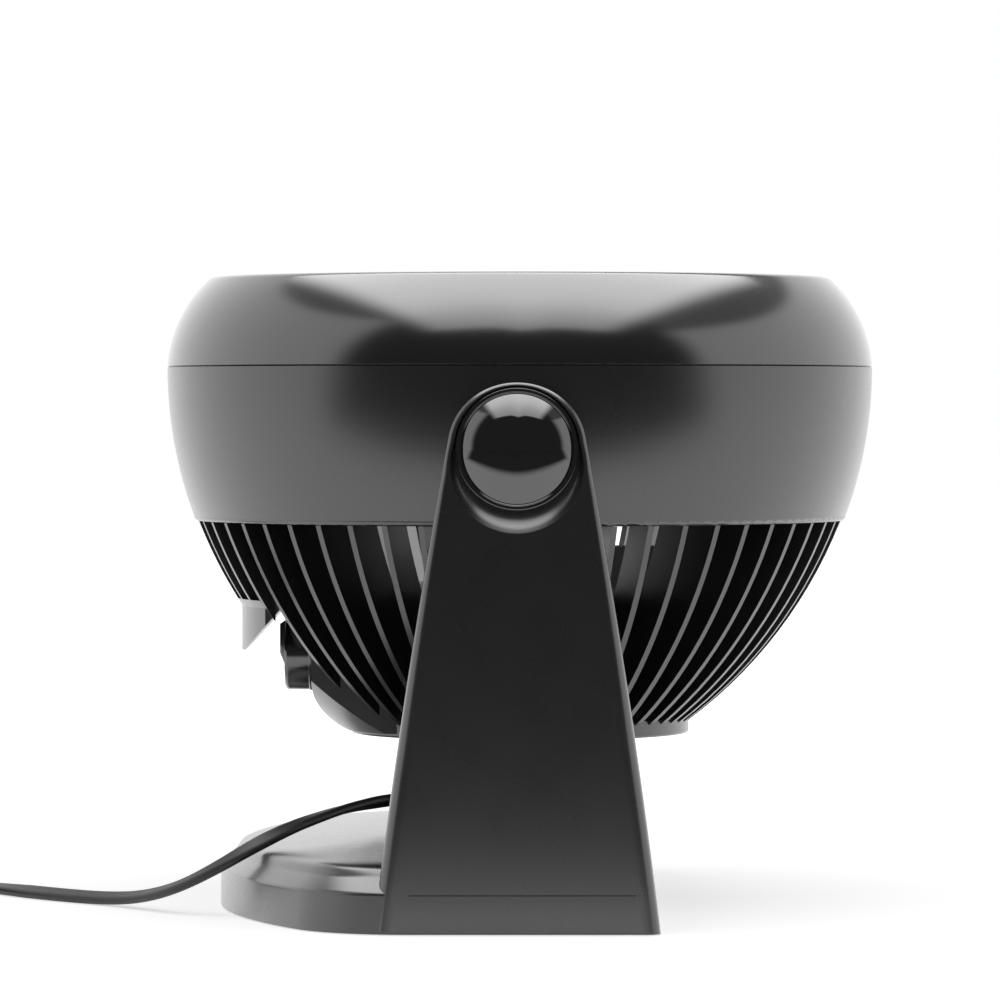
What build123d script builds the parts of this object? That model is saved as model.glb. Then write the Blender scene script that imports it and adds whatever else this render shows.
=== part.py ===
from build123d import *
import os
from math import atan2, cos, degrees, hypot, pi, radians, sin, sqrt, tan

# Air circulator fan, in millimetres. +Z is up and the origin is on the table, under the axis of the
# head. At rest the head blows straight up. Its hinge runs along Y; "near" pieces lie at -Y, "far"
# pieces at +Y, and the control knob is on the -X side. Heights called LEVEL are measured from the
# hinge axis, upwards positive, because the whole head turns about it.

# ---- hinge between the stand and the head
PIVOT_HEIGHT = 155.0          # hinge axis above the table
TRUNNION_RADIUS = 9.0         # stub that turns in the arm
TRUNNION_PLAY = 0.08          # radial play of the stub in its hole
TRUNNION_FLANGE_RADIUS = 20.6
TRUNNION_FLANGE_THICKNESS = 2.6
TRUNNION_LUG_WIDTH = 13.0     # flat key on top of the flange, which shows above the arm
TRUNNION_LUG_RISE = 21.7
FRICTION_WASHER_THICKNESS = 1.2
FRICTION_WASHER_RADIUS = 15.0
PIVOT_WASHER_RADIUS = 13.0
PIVOT_WASHER_THICKNESS = 1.6
PIVOT_SCREW_RADIUS = 2.5
PIVOT_SCREW_HEAD_RADIUS = 5.0
PIVOT_SCREW_HEAD_HEIGHT = 3.2
PIVOT_SCREW_BITE = 9.0        # thread inside the drum's boss
PIVOT_BOSS_RADIUS = 6.5
PIVOT_BOSS_DEPTH = 12.0       # from the drum's outer face inwards
PAD_RADIUS = 19.0
FACE_PLAY = 0.15              # gap between faces that turn against each other

# ---- head: outline of ring, drum and cage as radius and level
WALL = 2.5                    # wall of every large moulding
SEAM_RADIUS = 120.1           # widest place, where ring and drum meet
SEAM_LEVEL = 26.8
RIM_LEVEL = 57.4
RIM_ROUND = 4.0               # rounded front edge of the ring
RIM_WIDTH = 2.0               # flat front face of the ring, inside its rounded edge
RING_ARC_RADIUS = 44.7        # bulge of the ring
RING_ARC_DROP = 2.9           # its centre lies this far below the seam
DRUM_LEVEL = -25.3            # lower edge of the drum
DRUM_ARC_RADIUS = 145.6       # bulge of the drum, upright at the seam
DRUM_LIP_ROUND = 1.6
LEDGE_WIDTH = 5.6             # inner ledge of the drum that carries the cage
LEDGE_THICKNESS = 2.0
TONGUE_HEIGHT = 5.0           # the ring's inner tongue that centres it in the drum
TONGUE_THICKNESS = 1.6
SEAT_PLAY = 0.15              # play of parts that are only pushed together

# ---- cage: radial vanes, hub cup, visor and control box
VANE_COUNT = 54
VANE_THICKNESS = 2.0
VANE_DEPTH = 14.0
CAGE_ARC_RADIUS = 154.7       # bulge of the vanes' outer edge
VANE_TOP_SETBACK = 0.9        # that edge starts this far inside the drum's lip
VANE_END_SETBACK = 0.8        # and ends this far inside the hub's edge
CAGE_PLATE_THICKNESS = 2.4
HUB_RADIUS = 57.6
HUB_LEVEL = -93.9             # where the rear cover starts
CUP_PLATE_LEVEL = -47.6       # front face of the cup that holds the motor
CUP_PLATE_THICKNESS = 2.9
CUP_STEP = 1.0                # the cup wall stands this far inside the hub's edge
NOTCH_HALF_WIDTH = 42.0       # room for the hand at the knob
NOTCH_LEVEL = -54.0
SHELF_SETBACK = 12.7          # the flat wall behind the knob stands this far inside the vanes
VISOR_TIP_WIDTH = 1.8         # flat lower edge of the visor
VISOR_TIP_LEVEL = -69.0
VISOR_SLOPE = 1.13            # rise of the visor's underside for each mm towards the hub
BOX_REACH = 4.0               # the control box stands this far outside the vanes
BOX_KNEE_LEVEL = -78.0
BOX_BELLY_SETBACK = 2.7       # from the wall behind the knob
BOX_BELLY_LEVEL = -89.3
BOX_END_SETBACK = 0.2         # from the hub's edge

# ---- rear cover, its screws and the cord's strain relief
COVER_THICKNESS = 3.6
COVER_SPIGOT_DEPTH = 4.0
COVER_SCREW_CIRCLE = 50.2
COVER_SCREW_ANGLE = 45.0
BOSS_RADIUS = 4.0
SCREW_RADIUS = 1.5
SCREW_HEAD_RADIUS = 2.9
SCREW_HEAD_HEIGHT = 2.0
SCREW_LENGTH = 10.0
CORD_EXIT_X = 32.0
RELIEF_FLANGE_RADIUS = 7.5
RELIEF_FLANGE_THICKNESS = 3.0
RELIEF_NECK_RADIUS = 5.4
RELIEF_TIP_RADIUS = 3.7
RELIEF_LENGTH = 14.0          # below the rear cover

# ---- front grille and air duct
GRILLE_LEVEL = 54.6           # top face, under the ring's rim
GRILLE_DEPTH = 6.4
GRILLE_BORDER_WIDTH = 6.0
GRILLE_BADGE_RADIUS = 24.0
GRILLE_BADGE_RISE = 1.6
GRILLE_RIB_COUNT = 40
GRILLE_RIB_THICKNESS = 1.8
GRILLE_RIB_SWEEP = 38.0       # degrees that a rib turns on its way out
GRILLE_HOOP_SHARES = (0.5, 0.75)  # radii of the hoops, as shares of the grille's
GRILLE_SETBACK = 1.0          # from the inside of the ring
DUCT_SETBACK = 18.0           # from the drum's lower edge in to the wall around the blades
DUCT_WALL = 2.2
DUCT_FOOT_WIDTH = 7.0
DUCT_BELL_WIDTH = 9.0
DUCT_SCREW_COUNT = 6
DUCT_SCREW_LENGTH = 4.4

# ---- screws between ring and drum
RING_SCREW_COUNT = 6
RING_SCREW_ANGLE = 0.0
RING_BOSS_SETBACK = 8.3       # from the seam's outside to the screws
RING_BOSS_RADIUS = 3.5
RING_BOSS_RIB = 2.4
DRUM_POST_DEPTH = 22.0
RING_SCREW_LENGTH = 34.0

# ---- impeller
BLADE_COUNT = 3
BLADE_TIP_GAP = 3.5           # between the blades and the duct
BLADE_THICKNESS = 2.4
BLADE_LEVEL = 1.0             # middle of the blades
BLADE_ROOT_CHORD = 44.0
BLADE_TIP_CHORD = 104.0
BLADE_ROOT_PITCH = 50.0
BLADE_TIP_PITCH = 24.0
BLADE_CAMBER = 0.09           # depth of the blade's curve over its chord
SPINNER_RADIUS = 26.0
SPINNER_TOP_LEVEL = 22.0
SPINNER_BOTTOM_LEVEL = -30.0
SPINNER_WALL = 2.4

# ---- motor
SHAFT_RADIUS = 4.0
SHAFT_PLAY = 0.04
SHAFT_TOP_LEVEL = 12.0
SHAFT_END_LEVEL = -87.0
STATOR_RADIUS = 42.0
STATOR_YOKE = 7.0
STATOR_TOP_LEVEL = -58.0
STATOR_HEIGHT = 15.0
POLE_COUNT = 4
POLE_WIDTH = 15.0
ROTOR_RADIUS = 24.0
AIR_GAP = 0.5
WINDING_THICKNESS = 4.6
WINDING_GAP = 0.3
BRACKET_THICKNESS = 2.4
BEARING_RADIUS = 8.0
BEARING_HEIGHT = 5.5
MOTOR_SCREW_CIRCLE = 38.8
MOTOR_SCREW_RADIUS = 1.9
MOTOR_SCREW_HEAD_RADIUS = 3.4
MOTOR_SCREW_HEAD_HEIGHT = 2.4

# ---- capacitor on the cup plate
CAPACITOR_X = 39.0
CAPACITOR_LENGTH = 26.0
CAPACITOR_WIDTH = 18.0
CAPACITOR_HEIGHT = 13.4

# ---- speed switch and knob, on an axis along X
KNOB_LEVEL = -70.5
KNOB_RADIUS = 13.0
KNOB_GAP = 0.5                # between the knob and the wall behind it
KNOB_HEIGHT = 10.0
KNOB_DOME = 2.0
KNOB_GRIP_COUNT = 16
KNOB_GRIP_DEPTH = 0.9
KNOB_LIP_HEIGHT = 1.6
KNOB_POINTER_WIDTH = 2.2
SPINDLE_RADIUS = 3.0
SPINDLE_PLAY = 0.06
BUSHING_RADIUS = 4.8
BUSHING_LENGTH = 3.6          # outside the wall
SWITCH_NUT_RADIUS = 7.0
SWITCH_NUT_THICKNESS = 2.4
SWITCH_WIDTH = 24.0
SWITCH_HEIGHT = 20.0
SWITCH_DEPTH = 13.0
SWITCH_POCKET = 1.2

# ---- stand: two arms on a low base
ARM_CLEARANCE = 4.2           # between the head's widest place and the arms
ARM_DEPTH = 14.2              # from an arm's inner face to its outer face at the table
ARM_LEAN = 4.5                # the outer face leans in by this much up to the hinge
ARM_LEAN_START = 15.2         # height where the lean begins
ARM_TOP_RADIUS = 22.3
ARM_TOP_TANGENT = 10.4        # degrees above level where the round top meets the sides
ARM_HALF_FOOT = 46.0
ARM_HALF_WAIST = 33.3         # half width at WAIST_HEIGHT
WAIST_HEIGHT = 92.0
ARM_EDGE_ROUND = 2.8
ARM_HOLLOW_FOOT = 34.0        # the hollow in an arm starts at this height
ARM_WALL = 2.6
ARM_COVER_THICKNESS = 2.4
SOCKET_RADIUS = 20.2          # dished seat around the cap
SOCKET_DEPTH = 2.4
SCOOP_DROP = 5.4              # the dish's lower part is this much lower
CAP_RADIUS = 17.6
CAP_RIM_RADIUS = 19.7
CAP_RIM_THICKNESS = 1.4
CAP_DOME = 5.2
CAP_SKIRT_DEPTH = 2.4
CAP_BORE_RADIUS = 15.6
SOCKET_FLOOR = 2.6            # wall under the cap
TOE_X = -101.7
TOE_ARC_RADIUS = 240.0
TOE_CORNER_RADIUS = 42.0
BASE_WALL_HEIGHT = 13.6       # upright part of the base's edge
BASE_BEVEL_HEIGHT = 4.4
BASE_BEVEL_INSET = 5.0
BASE_SHOULDER_INSET = 13.0
BASE_SHOULDER_HEIGHT = 24.4
BASE_BROW_INSET = 28.0
BASE_BROW_HEIGHT = 27.4
BASE_CROWN_INSET = 46.0
BASE_CROWN_HEIGHT = 28.6
BASE_SHELL = 2.8
BASE_COVER_THICKNESS = 2.2
BASE_BOSS_INSET = 16.0        # screw bosses from the base's front and toe
BASE_BOSS_SIDE_INSET = 36.0   # and from its sides
FOOT_RADIUS = 8.0
FOOT_THICKNESS = 1.5
FOOT_PROUD = 0.3              # the feet lift everything else off the table
FOOT_INSET = 20.0             # of the front feet, from the stand's sides and front
TOE_FOOT_INSET = 34.0
TOE_FOOT_Y = 62.0

# ---- power cord, plug at its end
CORD_DIAMETER = 4.4
CORD_REST_PLAY = 0.05         # under the cord where it lies on the table
COIL_X = -235.7
COIL_Y = 40.5
COIL_MEAN_RADIUS = 29.0
COIL_START_ANGLE = 34.0       # where the lead joins the outermost turn
COIL_TURNS_A_LAYER = 2
COIL_LAYERS = 4
COIL_PITCH = 6.4              # between turns side by side, centre to centre
COIL_LAYER_PITCH = 5.0        # between layers
WIRE_RADIUS = 1.0
PLUG_LENGTH = 26.0
PLUG_WIDTH = 24.0
PLUG_HEIGHT = 15.0
PLUG_NECK_LENGTH = 12.0
BLADE_PRONG_LENGTH = 17.5
BLADE_PRONG_WIDTH = 6.3
BLADE_PRONG_THICKNESS = 1.5
BLADE_PRONG_SPACING = 12.7

# ---- what follows from the sizes above
RING_ARC_LEVEL = SEAM_LEVEL - RING_ARC_DROP
RING_ARC_CENTRE_RADIUS = SEAM_RADIUS - sqrt(RING_ARC_RADIUS ** 2 - RING_ARC_DROP ** 2)
DRUM_ARC_CENTRE_RADIUS = SEAM_RADIUS - DRUM_ARC_RADIUS
DRUM_LIP_RADIUS = DRUM_ARC_CENTRE_RADIUS + sqrt(DRUM_ARC_RADIUS ** 2 - (SEAM_LEVEL - DRUM_LEVEL) ** 2)
DUCT_RADIUS = DRUM_LIP_RADIUS - DUCT_SETBACK
BLADE_RADIUS = DUCT_RADIUS - BLADE_TIP_GAP
RING_BOSS_CIRCLE = SEAM_RADIUS - RING_BOSS_SETBACK
ARM_INNER_Y = SEAM_RADIUS + ARM_CLEARANCE
STAND_HALF_WIDTH = ARM_INNER_Y + ARM_DEPTH
BASE_FRONT_X = ARM_HALF_FOOT
CUP_RADIUS = HUB_RADIUS - CUP_STEP
CUP_BORE = CUP_RADIUS - WALL
CUP_PLATE_BACK = CUP_PLATE_LEVEL - CUP_PLATE_THICKNESS
COVER_LEVEL = HUB_LEVEL - COVER_THICKNESS
STATOR_BOTTOM_LEVEL = STATOR_TOP_LEVEL - STATOR_HEIGHT
PAD_Y = ARM_INNER_Y - FACE_PLAY - FRICTION_WASHER_THICKNESS
PAD_Y_INNER = PAD_Y - TRUNNION_FLANGE_THICKNESS
COVER_FACE_Y = ARM_INNER_Y + ARM_COVER_THICKNESS
SOCKET_FLOOR_Y = STAND_HALF_WIDTH - ARM_LEAN - SOCKET_DEPTH
SOCKET_BACK_Y = SOCKET_FLOOR_Y - SOCKET_FLOOR
BASE_HEAD_SEAT = FOOT_PROUD + SCREW_HEAD_HEIGHT + 0.4
BASE_BOSS_LOW = BASE_HEAD_SEAT + 2.0
KNOB_HEIGHT_ABOVE_TABLE = PIVOT_HEIGHT + KNOB_LEVEL
CORD_REST = CORD_DIAMETER / 2 + CORD_REST_PLAY
CAGE_PLATE_TOP = DRUM_LEVEL + LEDGE_THICKNESS + CAGE_PLATE_THICKNESS
SIDES = (-1, 1)


def cage_arc_centre():
    """Radius and level of the centre of the arc from the drum's lip to the hub's edge."""
    top = (DRUM_LIP_RADIUS - VANE_TOP_SETBACK, DRUM_LEVEL)
    end = (HUB_RADIUS - VANE_END_SETBACK, HUB_LEVEL)
    run, drop = top[0] - end[0], top[1] - end[1]
    chord = hypot(run, drop)
    reach = sqrt(CAGE_ARC_RADIUS ** 2 - chord ** 2 / 4) / chord
    return (top[0] + end[0]) / 2 - drop * reach, (top[1] + end[1]) / 2 + run * reach


CAGE_ARC_CENTRE_RADIUS, CAGE_ARC_CENTRE_LEVEL = cage_arc_centre()


def about_axis(angle, radius=0.0, level=0.0):
    """A place at an angle and radius about the head's axis, at a level from the hinge."""
    return Pos(0, 0, PIVOT_HEIGHT) * Rot(0, 0, angle) * Pos(radius, 0, level)


def turned(*outline):
    """A solid of revolution about the head's axis, from wires or edges given as radius and level."""
    return Pos(0, 0, PIVOT_HEIGHT) * revolve(Plane.XZ * make_face(outline), Axis.Z)


def turned_polygon(*points):
    """A solid of revolution about the head's axis with a straight-sided section."""
    return Pos(0, 0, PIVOT_HEIGHT) * revolve(Plane.XZ * make_face(Polyline(*points, close=True)), Axis.Z)


def drum_radius(level, inset=0.0):
    """Radius of the drum's outer face at a level, or of a face that lies inset from it."""
    drop = sqrt((DRUM_ARC_RADIUS - inset) ** 2 - (level - SEAM_LEVEL) ** 2)
    return DRUM_ARC_CENTRE_RADIUS + drop


def ring_radius(level, inset=0.0):
    """Radius of the ring's outer face at a level, or of a face that lies inset from it."""
    drop = sqrt((RING_ARC_RADIUS - inset) ** 2 - (level - RING_ARC_LEVEL) ** 2)
    return RING_ARC_CENTRE_RADIUS + drop


def cage_radius(level, inset=0.0):
    """Radius of the vanes' outer edge at a level, or of a line that lies inset from it."""
    return CAGE_ARC_CENTRE_RADIUS + sqrt((CAGE_ARC_RADIUS - inset) ** 2 - (level - CAGE_ARC_CENTRE_LEVEL) ** 2)


SHELF_X = SHELF_SETBACK - cage_radius(KNOB_LEVEL)   # flat wall that the knob turns against


def arc_through(radius_at, low, high, inset=0.0):
    """The arc between two levels of one of the outlines above."""
    levels = (low, (low + high) / 2, high)
    return ThreePointArc(*[(radius_at(level, inset), level) for level in levels])


def dome_arc(radius, low, rise):
    """Profile of a spherical dome, from its edge to the axis."""
    ball = (radius ** 2 + rise ** 2) / (2 * rise)
    middle = (radius / 2, low + rise - ball + sqrt(ball ** 2 - radius ** 2 / 4))
    return ThreePointArc((radius, low), middle, (0, low + rise))


def upright(x, y, low, high, radius):
    """A vertical cylinder between two heights above the table."""
    return Pos(x, y, (low + high) / 2) * Cylinder(radius, high - low)


def across(y_low, y_high, radius, x=0.0, z=PIVOT_HEIGHT):
    """A cylinder along Y between two places, by default on the hinge axis."""
    return Pos(x, (y_low + y_high) / 2, z) * Rot(90, 0, 0) * Cylinder(radius, y_high - y_low)


def lengthwise(x_low, x_high, radius):
    """A cylinder along X between two places, on the knob's axis."""
    middle = Pos((x_low + x_high) / 2, 0, KNOB_HEIGHT_ABOVE_TABLE)
    return middle * Rot(0, 90, 0) * Cylinder(radius, x_high - x_low)


def block(x, y, z):
    """A box between the low and high ends of three ranges."""
    middle = Pos((x[0] + x[1]) / 2, (y[0] + y[1]) / 2, (z[0] + z[1]) / 2)
    return middle * Box(x[1] - x[0], y[1] - y[0], z[1] - z[0])


def screw(radius, head_radius, head_height, length):
    """A screw that points up +Z from its head, whose top face is at the origin."""
    shank = Pos(0, 0, length / 2) * Cylinder(radius, length)
    head = Pos(0, 0, -head_height / 2) * Cylinder(head_radius, head_height)
    slot = Pos(0, 0, -head_height) * Box(head_radius * 1.3, head_radius * 0.28, head_height)
    cross = Rot(0, 0, 90) * slot
    return shank + head - slot - cross


# ---------------------------------------------------------------- head: ring, drum, grille, duct


def front_ring():
    """Bulged glossy ring: outer shell, rounded rim, and bosses that the drum's screws bite in."""
    shell_top = RIM_LEVEL - WALL
    round_start, round_middle, round_end = rim_round()
    inner_rim = round_end[0] - RIM_WIDTH
    inner_top = ring_radius(GRILLE_LEVEL, WALL)
    tongue_outer = drum_radius(SEAM_LEVEL - TONGUE_HEIGHT, WALL) - SEAT_PLAY
    inner_seam = ring_radius(SEAM_LEVEL, WALL)
    shell = turned(
        arc_through(ring_radius, SEAM_LEVEL, round_start[1]),
        ThreePointArc(round_start, round_middle, round_end),
        Line(round_end, (inner_rim, RIM_LEVEL)),
        Line((inner_rim, RIM_LEVEL), (inner_rim, GRILLE_LEVEL)),
        Line((inner_rim, GRILLE_LEVEL), (inner_top, GRILLE_LEVEL)),
        arc_through(ring_radius, SEAM_LEVEL, GRILLE_LEVEL, WALL),
        Line((inner_seam, SEAM_LEVEL), (ring_radius(SEAM_LEVEL), SEAM_LEVEL)),
    )
    tongue = turned_polygon(
        (tongue_outer, SEAM_LEVEL - TONGUE_HEIGHT), (tongue_outer, SEAM_LEVEL + 1.0),
        (inner_seam + 0.4, SEAM_LEVEL + 2.0), (inner_seam + 0.4, SEAM_LEVEL + 6.0),
        (tongue_outer - TONGUE_THICKNESS, SEAM_LEVEL + 4.0),
        (tongue_outer - TONGUE_THICKNESS, SEAM_LEVEL - TONGUE_HEIGHT),
    )
    core = turned(arc_through(ring_radius, SEAM_LEVEL, shell_top, WALL / 2),
                  Line((ring_radius(shell_top, WALL / 2), shell_top), (0, shell_top)),
                  Line((0, shell_top), (0, SEAM_LEVEL)),
                  Line((0, SEAM_LEVEL), (ring_radius(SEAM_LEVEL, WALL / 2), SEAM_LEVEL)))
    height = shell_top - SEAM_LEVEL
    bite = RING_SCREW_LENGTH - DRUM_POST_DEPTH + 1.0
    bosses, holes, notches = [], [], []
    for angle in ring_screw_angles():
        bosses.append(about_axis(angle, RING_BOSS_CIRCLE, SEAM_LEVEL + height / 2)
                      * Cylinder(RING_BOSS_RADIUS, height) & core)
        holes.append(about_axis(angle, RING_BOSS_CIRCLE, SEAM_LEVEL) * Cylinder(SCREW_RADIUS + 0.02, 2 * bite))
        notches.append(about_axis(angle, RING_BOSS_CIRCLE + 3, SEAM_LEVEL - TONGUE_HEIGHT)
                       * Box(16, 2 * RING_BOSS_RADIUS + 2, 2 * TONGUE_HEIGHT))
    return shell + (tongue - notches) + bosses - holes


def rim_round():
    """Start, middle and end of the rounded rim, an arc that continues the ring's bulge to level."""
    rise = RIM_LEVEL - RIM_ROUND - RING_ARC_LEVEL
    run = sqrt((RING_ARC_RADIUS - RIM_ROUND) ** 2 - rise ** 2)
    centre_radius, slope = RING_ARC_CENTRE_RADIUS + run, atan2(rise, run)
    return [(centre_radius + RIM_ROUND * cos(angle), RIM_LEVEL - RIM_ROUND + RIM_ROUND * sin(angle))
            for angle in (slope, (slope + pi / 2) / 2, pi / 2)]


def ring_screw_angles():
    """Angles of the screws between ring and drum."""
    return [RING_SCREW_ANGLE + 360 * index / RING_SCREW_COUNT for index in range(RING_SCREW_COUNT)]


def drum():
    """Satin drum: bulged wall, rounded lower lip, inner ledge for the cage, posts for the screws."""
    lip = DRUM_LEVEL + DRUM_LIP_ROUND
    ledge_top = DRUM_LEVEL + LEDGE_THICKNESS
    ledge_inner = drum_radius(DRUM_LEVEL) - LEDGE_WIDTH - DRUM_LIP_ROUND
    shell = turned(
        arc_through(drum_radius, lip, SEAM_LEVEL),
        Line((drum_radius(SEAM_LEVEL), SEAM_LEVEL), (drum_radius(SEAM_LEVEL, WALL), SEAM_LEVEL)),
        arc_through(drum_radius, ledge_top, SEAM_LEVEL, WALL),
        Line((drum_radius(ledge_top, WALL), ledge_top), (ledge_inner, ledge_top)),
        Line((ledge_inner, ledge_top), (ledge_inner, DRUM_LEVEL)),
        Line((ledge_inner, DRUM_LEVEL), (drum_radius(lip) - DRUM_LIP_ROUND, DRUM_LEVEL)),
        ThreePointArc((drum_radius(lip) - DRUM_LIP_ROUND, DRUM_LEVEL),
                      (drum_radius(lip) - DRUM_LIP_ROUND * 0.29, DRUM_LEVEL + DRUM_LIP_ROUND * 0.29),
                      (drum_radius(lip), lip)),
    )
    inside = drum_core(WALL / 2)
    posts, holes = [], []
    level = SEAM_LEVEL - DRUM_POST_DEPTH / 2
    rib = Box(SEAM_RADIUS - RING_BOSS_CIRCLE, RING_BOSS_RIB, DRUM_POST_DEPTH)
    for angle in ring_screw_angles():
        posts.append(about_axis(angle, RING_BOSS_CIRCLE, level) * Cylinder(RING_BOSS_RADIUS, DRUM_POST_DEPTH))
        posts.append(about_axis(angle, (SEAM_RADIUS + RING_BOSS_CIRCLE) / 2, level) * rib)
        holes.append(about_axis(angle, RING_BOSS_CIRCLE, level) * Cylinder(SCREW_RADIUS + 0.1, 2 * DRUM_POST_DEPTH))
    outside = drum_core(WALL - 0.4)
    pads = [pivot_pad(side) - outside for side in SIDES]
    bosses = [pivot_boss(side, PIVOT_BOSS_RADIUS) for side in SIDES]
    bores = [pivot_boss(side, PIVOT_SCREW_RADIUS + 0.02) for side in SIDES]
    return shell + [post & inside for post in posts] + pads + bosses - holes - bores


def drum_core(inset):
    """Everything inside a face that lies inset from the drum's outer face."""
    low = DRUM_LEVEL - 1.0
    return turned(
        arc_through(drum_radius, low, SEAM_LEVEL, inset),
        Line((drum_radius(SEAM_LEVEL, inset), SEAM_LEVEL), (0, SEAM_LEVEL)),
        Line((0, SEAM_LEVEL), (0, low)),
        Line((0, low), (drum_radius(low, inset), low)),
    )


def pivot_pad(side):
    """Round pad on the drum that the trunnion's flange lies against."""
    return across(*sorted((side * (drum_radius(0) - 12.0), side * PAD_Y_INNER)), PAD_RADIUS)


def pivot_boss(side, radius):
    """Boss behind the pad, or with the screw's radius the hole in both."""
    return across(*sorted((side * (drum_radius(0) - PIVOT_BOSS_DEPTH), side * PAD_Y_INNER)), radius)


def front_grille():
    """Flat grille: border, hoops and curved ribs round a plain domed centre."""
    border_outer = ring_radius(GRILLE_LEVEL, WALL) - GRILLE_SETBACK
    border_inner = border_outer - GRILLE_BORDER_WIDTH
    bottom = GRILLE_LEVEL - GRILLE_DEPTH
    border = turned_polygon((border_inner, bottom), (border_outer, bottom), (border_outer, GRILLE_LEVEL),
                            (border_inner, GRILLE_LEVEL))
    edge, peak = GRILLE_LEVEL - 0.8, GRILLE_LEVEL - 0.8 + GRILLE_BADGE_RISE
    badge = turned(dome_arc(GRILLE_BADGE_RADIUS, edge, GRILLE_BADGE_RISE), Line((0, peak), (0, bottom + 2)),
                   Line((0, bottom + 2), (GRILLE_BADGE_RADIUS, bottom + 2)),
                   Line((GRILLE_BADGE_RADIUS, bottom + 2), (GRILLE_BADGE_RADIUS, edge)))
    inner, outer = [curved_rib(GRILLE_BADGE_RADIUS - 1.0, border_inner + 1.0, offset) for offset in (-0.5, 0.5)]
    rib = make_face([inner, outer, Line(inner @ 0, outer @ 0), Line(inner @ 1, outer @ 1)])
    net = Sketch() + [Rot(0, 0, 360 * index / GRILLE_RIB_COUNT) * rib for index in range(GRILLE_RIB_COUNT)]
    hoops = [share * border_inner for share in GRILLE_HOOP_SHARES]
    net += [Circle(radius + GRILLE_RIB_THICKNESS) - Circle(radius) for radius in hoops]
    web = Pos(0, 0, PIVOT_HEIGHT + bottom + 0.5) * extrude(net, GRILLE_DEPTH - 1.0)
    return border + [badge, web]


def curved_rib(start, end, offset):
    """One side of a grille rib: an arc that sweeps sideways on its way out."""
    points = []
    for radius in (start, (start + end) / 2, end):
        share = (radius - start) / (end - start)
        turn = radians(GRILLE_RIB_SWEEP) * share ** 0.8
        shift = offset * GRILLE_RIB_THICKNESS
        points.append((radius * cos(turn) - shift * sin(turn), radius * sin(turn) + shift * cos(turn)))
    return ThreePointArc(*points)


def air_duct():
    """Round wall close to the blade tips, from the cage's plate to the underside of the grille."""
    foot, top = CAGE_PLATE_TOP, GRILLE_LEVEL - GRILLE_DEPTH
    outer = DUCT_RADIUS + DUCT_WALL
    bell = DUCT_RADIUS + DUCT_BELL_WIDTH
    bell_mid = (DUCT_RADIUS + DUCT_BELL_WIDTH * 0.29, top - DUCT_BELL_WIDTH * 0.29)
    wall = turned(
        Line((DUCT_RADIUS, foot), (DUCT_RADIUS, top - DUCT_BELL_WIDTH)),
        ThreePointArc((DUCT_RADIUS, top - DUCT_BELL_WIDTH), bell_mid, (bell, top)),
        Line((bell, top), (bell, top - DUCT_WALL)),
        ThreePointArc((bell, top - DUCT_WALL), (bell_mid[0] + DUCT_WALL * 0.71, bell_mid[1] - DUCT_WALL * 0.71),
                      (outer, top - DUCT_BELL_WIDTH)),
        Line((outer, top - DUCT_BELL_WIDTH), (outer, foot + DUCT_WALL)),
        Line((outer, foot + DUCT_WALL), (outer + DUCT_FOOT_WIDTH, foot + DUCT_WALL)),
        Line((outer + DUCT_FOOT_WIDTH, foot + DUCT_WALL), (outer + DUCT_FOOT_WIDTH, foot)),
        Line((outer + DUCT_FOOT_WIDTH, foot), (DUCT_RADIUS, foot)),
    )
    return wall - [place * Cylinder(SCREW_RADIUS + 0.1, 20) for place in duct_screw_places()]


def duct_screw_places():
    """Where the duct's foot is screwed to the cage's plate, on its upper face."""
    radius = DUCT_RADIUS + DUCT_WALL + DUCT_FOOT_WIDTH / 2
    between_vanes = 180 / VANE_COUNT
    return [about_axis(360 * index / DUCT_SCREW_COUNT + between_vanes, radius, CAGE_PLATE_TOP + DUCT_WALL)
            for index in range(DUCT_SCREW_COUNT)]


# ---------------------------------------------------------------- head: cage and rear cover


def vane():
    """One upright radial vane: outer arc, inner arc a vane's depth inside it, stepped at the top."""
    ledge_inner = drum_radius(DRUM_LEVEL) - LEDGE_WIDTH - DRUM_LIP_ROUND - 0.4
    top = DRUM_LEVEL - 0.1
    root = CUP_RADIUS - WALL / 2
    low = CAGE_ARC_CENTRE_LEVEL - sqrt((CAGE_ARC_RADIUS - VANE_DEPTH) ** 2 - (root - CAGE_ARC_CENTRE_RADIUS) ** 2)
    buried = CAGE_PLATE_TOP - CAGE_PLATE_THICKNESS / 2
    outline = [
        arc_through(cage_radius, HUB_LEVEL, top),
        Line((cage_radius(top), top), (ledge_inner, top)),
        Line((ledge_inner, top), (ledge_inner, buried)),
        Line((ledge_inner, buried), (cage_radius(buried, VANE_DEPTH), buried)),
        arc_through(cage_radius, low, buried, VANE_DEPTH),
        Line((root, low), (root, HUB_LEVEL)),
        Line((root, HUB_LEVEL), (cage_radius(HUB_LEVEL), HUB_LEVEL)),
    ]
    face = Plane.XZ * make_face(outline)
    return Pos(0, 0, PIVOT_HEIGHT) * extrude(face, VANE_THICKNESS / 2, both=True)


def knob_room():
    """The space for the hand around the knob, which the vanes above and beside it stop at."""
    return block((-SEAM_RADIUS, SHELF_X + 4.0), (-NOTCH_HALF_WIDTH, NOTCH_HALF_WIDTH),
                 (0.0, PIVOT_HEIGHT + NOTCH_LEVEL))


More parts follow.
